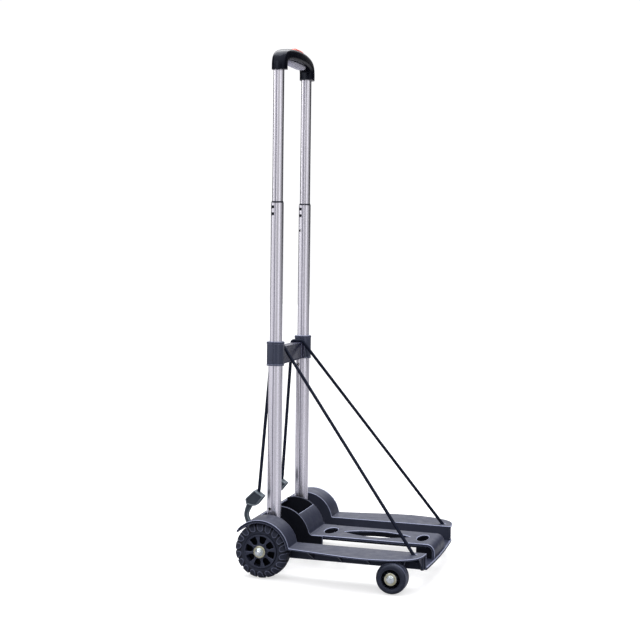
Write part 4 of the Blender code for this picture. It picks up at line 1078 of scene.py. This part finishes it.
def carve(piece, cutters):
    """Subtracts the cutters from the piece; both are still where they were drawn."""
    tool = mesh_object("tool", cutters, piece.data.materials[0], 30.0, AS_DRAWN)
    cutting = piece.modifiers.new("cut", "BOOLEAN")
    cutting.object = tool
    cutting.solver = "EXACT"
    bpy.context.view_layer.objects.active = piece
    piece.modifiers.remove(piece.modifiers["normals"])
    bpy.context.view_layer.update()
    mesh = bpy.data.meshes.new_from_object(piece.evaluated_get(bpy.context.evaluated_depsgraph_get()))
    piece.modifiers.clear()
    piece.data = mesh
    bpy.data.objects.remove(tool)
    weighted = piece.modifiers.new("normals", "WEIGHTED_NORMAL")
    weighted.keep_sharp = True
    return piece


def tubes():
    spans = ((0.07, 0.432), (0.374, 0.6935), (0.64, 0.96))
    bodies = ("handle", "middle_stage", "inner_stage")
    names = ("outer_tube_", "middle_tube_", "inner_tube_")
    tube_look, bore_shade_look = aluminium(), tube_bore_shade()
    for tag, side in SIDES:
        holes = ([(side, 0.0056, 0.1165, 0.0028), (-side, 0.0066, 0.376, 0.0029)],
                 [(-side, 0.0066, 0.643, 0.0027), (-side, 0.0066, 0.376, 0.0028)],
                 [(-side, 0.0058, 0.643, 0.0027)])
        for stage in range(3):
            piece = tube_piece(tube_look, stage, side, *spans[stage], holes[stage])
            piece.name = "look_" + names[stage] + tag
            piece.data.materials.append(bore_shade_look)
            # the inside walls take the bore's painted shade
            for face in piece.data.polygons:
                outward = Vector((face.center.x - side * TUBE_X, face.center.y, 0.0))
                inside = abs(outward.x) < WIDTH[stage] - 0.0005 and outward.dot(face.normal) < 0.0
                if inside and abs(face.normal.z) < 0.3:
                    face.material_index = 1 if abs(face.center.y) < DEPTH[stage] - 0.0005 else 0
            piece.data.transform(HOME)
            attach(piece, bodies[stage])
            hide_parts(names[stage] + tag)


def collars():
    """Black collar with a stepped rim on each middle tube, and its flush rivets."""
    black = plastic("collar_plastic")
    rivet_metal = plastic("rivet_plastic")
    pin_metal = zinc("pin_zinc", (0.7, 0.7, 0.7), (0.84, 0.84, 0.82), 0.18)
    for tag, side in SIDES:
        x = side * TUBE_X
        work = bmesh.new()
        bore = tube_section(WIDTH[2] + 0.0003, DEPTH[2] + 0.0003, x)
        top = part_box("collar_" + tag)[1].z
        rim = tube_section(WIDTH[1], DEPTH[1], x, 0.0005)
        add_plate(work, [rim, bore], 0.6938, top - 0.0022, edge=0.0006)
        step = tube_section(WIDTH[1] - 0.0007, DEPTH[1] - 0.0007, x)
        add_plate(work, [step, bore], top - 0.0026, top, edge=0.0005)
        dress(work, "look_collar_" + tag, black, "middle_stage", ["collar_" + tag], "grip_plastic")
        for row, z in (("upper", 0.686), ("lower", 0.673)):
            for place, face in (("outside", side), ("inside", -side)):
                wall = x + face * (WIDTH[1] - 0.0003)
                rivet = bmesh.new()
                ends = sorted((wall - face * 0.001, wall + face * 0.00005))
                add_plate(rivet, [rectangle(0.0035, z - 0.0028, 0.0089, z + 0.0028, 0.0012, 5)], *ends, "X",
                          0.00005)
                name = "rivet_" + row + "_" + place + "_" + tag
                dress(rivet, "look_" + name, rivet_metal, "middle_stage", [name], "grip_plastic")
        for name, stage, y, z, body in (("upper_pin_", 2, 0.0058, 0.643, "inner_stage"),
                                        ("lower_pin_", 1, 0.0066, 0.376, "middle_stage")):
            nose = x - side * (WIDTH[stage] - 0.001)
            pin = bmesh.new()
            profile = [(0.0, 0.0003), (0.001, 0.0002), (0.0018, -0.0003), (0.0022, -0.0011),
                       (0.0022, -0.0034),
                       (0.0, -0.0034)]
            turn = Matrix.Translation((nose, y, z)) @ Matrix.Rotation(-side * 90.0 * DEG, 4, "Y")
            add_turned(pin, profile, (0, 0, 0), "Z", 24, False, turn)
            dress(pin, "look_" + name + tag, pin_metal, body, [name + tag], "zinc_steel")


def crossbrace():
    """Two sleeves with rimmed tops, and the bridge between them."""
    sleeves, bridge = bmesh.new(), bmesh.new()
    for _, side in SIDES:
        x = side * TUBE_X
        wide, deep = 0.0136, 0.0158
        bore = tube_section(WIDTH[0] + 0.0003, DEPTH[0] + 0.0003, x)
        mouth = tube_section(WIDTH[1] + 0.0003, DEPTH[1] + 0.0003, x)
        add_plate(sleeves, [tube_section(wide, deep, x), bore], 0.389, 0.43, edge=0.001)
        add_plate(sleeves, [tube_section(wide, deep, x, 0.0005), mouth], 0.4293, 0.4343, edge=0.0011)
        add_plate(sleeves, [tube_section(wide, deep, x, 0.0004), bore], 0.3885, 0.3912, edge=0.0008)
    front, rear = -0.005, 0.013
    outline = rectangle(front, 0.3895, rear, 0.4215, 0.0016, 4)
    add_plate(bridge, [outline], -0.0742, 0.0742, "X", 0.0004)
    add_plate(bridge, [rectangle(front - 0.001, 0.389, rear + 0.0008, 0.3918, 0.0008, 3)], -0.0738, 0.0738,
              "X",
              0.0003)
    add_plate(bridge, [rectangle(front - 0.001, 0.4188, rear + 0.0006, 0.422, 0.0009, 3)], -0.0738, 0.0738,
              "X",
              0.0003)
    for _, side in SIDES:
        gusset = [(side * 0.0735, 0.3915), (side * 0.064, 0.3915), (side * 0.07, 0.405),
                  (side * 0.0716, 0.419),
                  (side * 0.0735, 0.419)]
        add_plate(bridge, [gusset], 0.004, 0.0066, "Y", 0.0006)
        add_plate(bridge, [rectangle(side * 0.056 - 0.0011, 0.3915, side * 0.056 + 0.0011, 0.419, 0.0004, 2)],
                  0.0045, 0.006, "Y", 0.0005)
    for name, work, look in (("crossbrace", sleeves, "sleeve_plastic"), ("bridge", bridge, "bridge_plastic")):
        dress(work, "look_" + name, plastic(look), "handle", ["crossbrace"], "slate_plastic", 34.0)


def feet():
    black = plastic("foot_plastic")
    for tag, side in SIDES:
        x = side * TUBE_X
        work = bmesh.new()
        add_plate(work, [tube_section(0.0096, 0.0119, x)], 0.06, 0.1045, edge=0.0008)
        eye = oval(0.0119, 0.0119, (0.0, REAR_Z), 56)
        add_plate(work, [eye, oval(0.0043, 0.0043, (0.0, REAR_Z), 32)], x - 0.0096, x + 0.0096, "X", 0.0008)
        dress(work, "look_tube_foot_" + tag, black, "handle", ["tube_foot_" + tag], "grip_plastic")


# ---------------------------------------------------------------- grip
GRIP_LINE = [(0.084, 0.9398), (0.0842, 0.944), (0.0842, 0.949), (0.0838, 0.954), (0.0822, 0.9592),
             (0.0788, 0.9635),
             (0.0735, 0.9666),
             (0.066, 0.969), (0.056, 0.9708), (0.042, 0.9724), (0.025, 0.9734), (0.01, 0.9738), (0.0, 0.9739)]


def squared(cos, sin, power, wide, deep):
    """A point on an oval whose sides are flattened; the smaller the power, the squarer."""
    return math.copysign(abs(cos) ** power, cos) * wide, math.copysign(abs(sin) ** power, sin) * deep


def grip_section(blend_in, half_up, half_deep, count=56):
    """Section of the grip: a soft tube shape at the sockets, a rounded bar along the arch."""
    points = []
    groove = 0.0022
    for i in range(count):
        turn = 2.0 * math.pi * i / count
        cos, sin = math.cos(turn), math.sin(turn)
        bar = squared(cos, sin, 0.62, half_up, half_deep)
        socket = squared(cos, sin, 0.7, 0.0126, half_deep)
        past = abs(sin * half_deep - groove)
        if past < groove:
            socket = (socket[0] - math.copysign(0.0009 * (1.0 - past / groove), cos), socket[1])
        points.append(tuple(near * (1 - blend_in) + far * blend_in for near, far in zip(socket, bar)))
    return points


def grip():
    line = mirrored(curve_through(GRIP_LINE, 5))
    work = bmesh.new()
    rings = []
    count = len(line)
    for i, (x, z) in enumerate(line):
        before, after = line[max(i - 1, 0)], line[min(i + 1, count - 1)]
        along = Vector((after[0] - before[0], after[1] - before[1])).normalized()
        across = Vector((along.y, -along.x))
        blend_in = step_between(abs(z - 0.9398) if abs(x) > 0.07 else 1.0, 0.008, 0.024)
        inner = 0.0106 + 0.0004 * (1.0 - step_between(abs(x), 0.0, 0.06))
        bow = -0.001 - 0.004 * max(0.0, math.cos(math.pi * x / 0.18))
        ring = []
        for up, deep in grip_section(blend_in, inner, 0.0143):
            ring.append(work.verts.new((x + across.x * up, bow + deep, z + across.y * up)))
        rings.append(ring)
    join_rings(work, rings)
    for ring in (rings[0], rings[-1]):
        work.faces.new(ring)
    body = mesh_object("look_grip_body", work, plastic("grip_plastic"), 50.0, AS_DRAWN)
    cutters = bmesh.new()
    add_plate(cutters, [rectangle(-0.0266, 0.9712, 0.0266, 1.0, 0.0012, 3)], 0.0034, 0.0132, "Y", 0.0001)
    for _, side in SIDES:
        add_plate(cutters, [tube_section(WIDTH[2] + 0.0003, DEPTH[2] + 0.0003, side * TUBE_X)], 0.93, 0.944,
                  edge=0.0001)
    carve(body, cutters)
    body.data.transform(HOME)
    body.data.shade_smooth()
    body.data.set_sharp_from_angle(angle=42.0 * DEG)
    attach(body, "inner_stage")
    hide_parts("grip_body")


def bowed(work):
    for vertex in work.verts:
        vertex.co.y -= 0.004 * max(0.0, math.cos(math.pi * vertex.co.x / 0.18))
    return work


def grip_insert():
    """Pale tray under the arch, open underneath, with a rim and curled ends."""
    low = [(0.048, 0.9616), (0.047, 0.9588), (0.044, 0.9562), (0.039, 0.9545), (0.031, 0.9536),
           (0.018, 0.953),
           (0.0, 0.9528)]
    top = [(0.0, 0.9633), (0.02, 0.9631), (0.04, 0.9623)]
    outline = mirrored(curve_through(low, 4)) + [(-x, z) for x, z in reversed(top[1:])] + top
    pieces = bmesh.new()
    add_plate(pieces, [outline], -0.0042, 0.006, "Y", 0.0012, 4)
    for low_y, high_y in ((0.005, 0.0072), (-0.0054, -0.0032)):
        add_plate(pieces, [inset(outline, -0.0006)], low_y, high_y, "Y", 0.0008, 4)
    for i in range(-13, 14):
        split_at(pieces, (0.004 * i, 0, 0), (1, 0, 0))
    work = bmesh.new()
    merge_into(work, bowed(pieces))
    dress(work, "look_grip_insert", plastic("insert_plastic"), "inner_stage", ["grip_insert"],
          "insert_plastic",
          36.0)


def release():
    cap = [(-0.026, 0.9755), (-0.026, 0.9834), (-0.0252, 0.9851), (-0.0235, 0.9862), (-0.012, 0.987),
           (0.0, 0.9872)]
    work = bmesh.new()
    add_plate(work, [mirrored(cap)], 0.004, 0.0126, "Y", 0.0014, 5)
    for i in range(-4, 5):
        add_plate(work, [rectangle(0.0048 * i - 0.0005, 0.9845, 0.0048 * i + 0.0005, 0.9874, 0.0002, 2)],
                  0.0056,
                  0.011, "Y", 0.0004)
    dress(work, "look_release_button", plastic("button_plastic"), "release", ["release_button"],
          "button_plastic")
    inner = bmesh.new()
    half = [(0.0862, 0.9615), (0.0862, 0.965), (0.0752, 0.9738)]
    bar = [(-0.074, 0.9698), (0.074, 0.9698)] + half + [(-x, z) for x, z in reversed(half)]
    add_plate(inner, [bar], -0.0028, 0.0068, "Y", 0.0006)
    dress(inner, "look_release_yoke", plastic("insert_plastic"), "release", ["release_yoke"],
          "insert_plastic")
    steel = zinc("rod_zinc", (0.66, 0.66, 0.66), (0.82, 0.82, 0.8), 0.22)
    for tag, side in SIDES:
        rod = bmesh.new()
        add_rod(rod, (side * TUBE_X, 0.0, 0.662), (side * TUBE_X, 0.0, 0.963), 0.0022, 24)
        dress(rod, "look_push_rod_" + tag, steel, "release", ["push_rod_" + tag], "zinc_steel")


# ---------------------------------------------------------------- elastic cords
HOOK_X = (-0.122, 0.013)
BLOCK = [(0.0243, 0.1578), (0.0062, 0.1461), (0.02, 0.1291), (0.0271, 0.1276), (0.0403, 0.1305),
         (0.042, 0.1406)]
NECK_BACK = [(0.04, 0.132), (0.0437, 0.121), (0.0457, 0.1107), (0.0445, 0.1035), (0.042, 0.0965),
             (0.038, 0.0905),
             (0.037, 0.0862), (0.04, 0.0832), (0.0435, 0.0795), (0.0413, 0.077)]
NECK_FRONT = [(0.0368, 0.08), (0.0334, 0.084), (0.0323, 0.0885), (0.033, 0.0935), (0.0342, 0.099),
              (0.0371, 0.106),
              (0.0375, 0.112), (0.0345, 0.119), (0.0285, 0.129)]


def soft_corners(outline, reach):
    """Cuts each corner of an outline back and rounds it."""
    rounded = []
    count = len(outline)
    for i, point in enumerate(outline):
        here = Vector(point)
        before, after = Vector(outline[i - 1]), Vector(outline[(i + 1) % count])
        first = here + (before - here).normalized() * min(reach, (before - here).length * 0.45)
        last = here + (after - here).normalized() * min(reach, (after - here).length * 0.45)
        for k in range(5):
            t = k / 4.0
            spot = first * (1 - t) ** 2 + here * (2 * t * (1 - t)) + last * t ** 2
            rounded.append((spot.x, spot.y))
    return rounded


def hooks():
    """Moulded hooks: a panelled socket block, a rimmed neck and a curl round the tail bar, their sunken panels
    painted darker as shade.
    """
    look, panel_shade_look = plastic("hook_plastic"), plastic("hook_panel_shade_plastic")
    for (tag, _), x in zip(SIDES, HOOK_X):
        work, panel = bmesh.new(), bmesh.new()
        block = soft_corners(BLOCK, 0.0022)
        if area_of(block) < 0.0:
            block = block[::-1]
        add_plate(panel, [inset(block, 0.0012)], x - 0.006, x + 0.006, "X", 0.0012, 4)
        add_plate(work, [block, inset(block, 0.0024)], x - 0.0085, x + 0.0085, "X", 0.0008, 4)
        neck = curve_through(NECK_BACK, 4)[:-1] + curve_through(NECK_FRONT, 4)
        if area_of(neck) < 0.0:
            neck = neck[::-1]
        add_plate(work, [neck], x - 0.0042, x + 0.0042, "X", 0.0011, 4)
        add_plate(panel, [inset(neck, 0.002)], x - 0.0045, x + 0.0045, "X", 0.0004, 2)
        lead = Vector((0.0, -0.013, 0.022)).normalized()
        mouth = Vector((x, 0.0174, 0.1543))
        turn = upright_to(lead)
        profile = [(0.0034, 0.0008), (0.004, 0.0014), (0.0056, 0.0014), (0.0062, 0.0006), (0.0062, -0.003),
                   (0.0034, -0.003)]
        add_turned(work, profile, (0, 0, 0), "Z", 32, True, Matrix.Translation(mouth - lead * 0.0012) @ turn)
        dress(work, "look_hook_" + tag, look, "platform", ["hook_" + tag], "slate_plastic", 36.0)
        dress(panel, "look_hook_panel_" + tag, panel_shade_look, "platform", ["hook_" + tag], "slate_plastic", 36.0)


def cord_points(side, hook_x):
    """Knot under the deck, straight up to the bridge, round its edges, and down behind to the hook."""
    over = side * 0.06
    reach = 0.0015 + 0.0027 + 0.0004
    hole = Vector((side * 0.131, -0.2816, DECK))
    bends = arc(reach, 142.0, 90.0, 8, (-0.0035, 0.42)) + arc(reach, 90.0, 2.0, 12, (0.0115, 0.42))
    over_bridge = [Vector((over, y, z)) for y, z in bends]
    lead_in = (hole - over_bridge[0]).normalized()
    entry = Vector((hook_x, 0.0174, 0.1543))
    lead_out = Vector((0.0, 0.013, -0.022)).normalized()
    arrive = (over_bridge[-1] - entry).normalized()
    last = [entry + arrive * 0.008 * (1.0 - t) ** 2 + lead_out * 0.005 * t ** 2 for t in [i / 8.0 for i in range(9)]]
    return [hole + lead_in * 0.0062] + over_bridge[:9], over_bridge[8:] + last


def braided(points, name, look):
    """A cord's braided sheath: two sets of strands crossing over and under along a path."""
    spots, total = [], 0.0
    for first, second in zip(points, points[1:]):
        length = (second - first).length
        count = max(1, round(length / 0.00055))
        spots += [(first.lerp(second, i / count), total + length * i / count) for i in range(count)]
        total += length
    spots.append((points[-1], total))
    work = bmesh.new()
    rings = []
    around = 20
    sideways = None
    for i, (spot, run) in enumerate(spots):
        along = (spots[min(i + 1, len(spots) - 1)][0] - spots[max(i - 1, 0)][0]).normalized()
        if sideways is None:
            sideways = along.cross(Vector((0.0, 0.3, 1.0))).normalized()
        sideways = (sideways - along * sideways.dot(along)).normalized()
        upward = along.cross(sideways)
        ring = []
        for k in range(around):
            turn = 2.0 * math.pi * k / around
            strand = max(math.sin(5.0 * turn + run * 1300.0), math.sin(5.0 * turn - run * 1300.0))
            radius = 0.003 + 0.00014 * strand
            ring.append(work.verts.new(spot + sideways * math.cos(turn) * radius + upward * math.sin(turn) * radius))
        rings.append(ring)
    join_rings(work, rings)
    work.faces.new(rings[0])
    work.faces.new(rings[-1])
    return mesh_object(name, work, look, 60.0)


def cords():
    look = cord_weave()
    for (tag, side), hook_x in zip(SIDES, HOOK_X):
        front, rear = cord_points(side, hook_x)
        for name, points, bodies in (("front", front, ("platform", "handle")),
                                     ("rear", rear, ("handle", "platform"))):
            piece = braided(points, "look_cord_" + name + "_" + tag, look)
            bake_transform(piece, *bodies, HOME @ points[0], HOME @ points[-1])
            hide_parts("cord_" + tag)
        start = front[0]
        lead = (front[0] - front[1]).normalized()
        turn = upright_to(lead)
        work = bmesh.new()
        for shift, tilt in ((0.005, 0.35), (0.0072, -0.4)):
            ring = bmesh.new()
            profile = [(0.0027 + 0.0022 * math.cos(a * 30.0 * DEG),
                        0.0022 * math.sin(a * 30.0 * DEG)) for a in range(12)]
            add_turned(ring, profile, (0, 0, 0), "Z", 32)
            merge_into(work, ring,
                       Matrix.Translation(start + lead * shift) @ turn @ Matrix.Rotation(tilt, 4, "X"))
        add_rod(work, start + lead * 0.0008, start + lead * 0.0106, 0.0026)
        dress(work, "look_cord_knot_" + tag, look, "platform", ["cord_knot_" + tag], "cord_sheath", 50.0)


photo_camera()
studio()
platform()
wheels()
tubes()
collars()
crossbrace()
feet()
grip()
grip_insert()
release()
hooks()
cords()
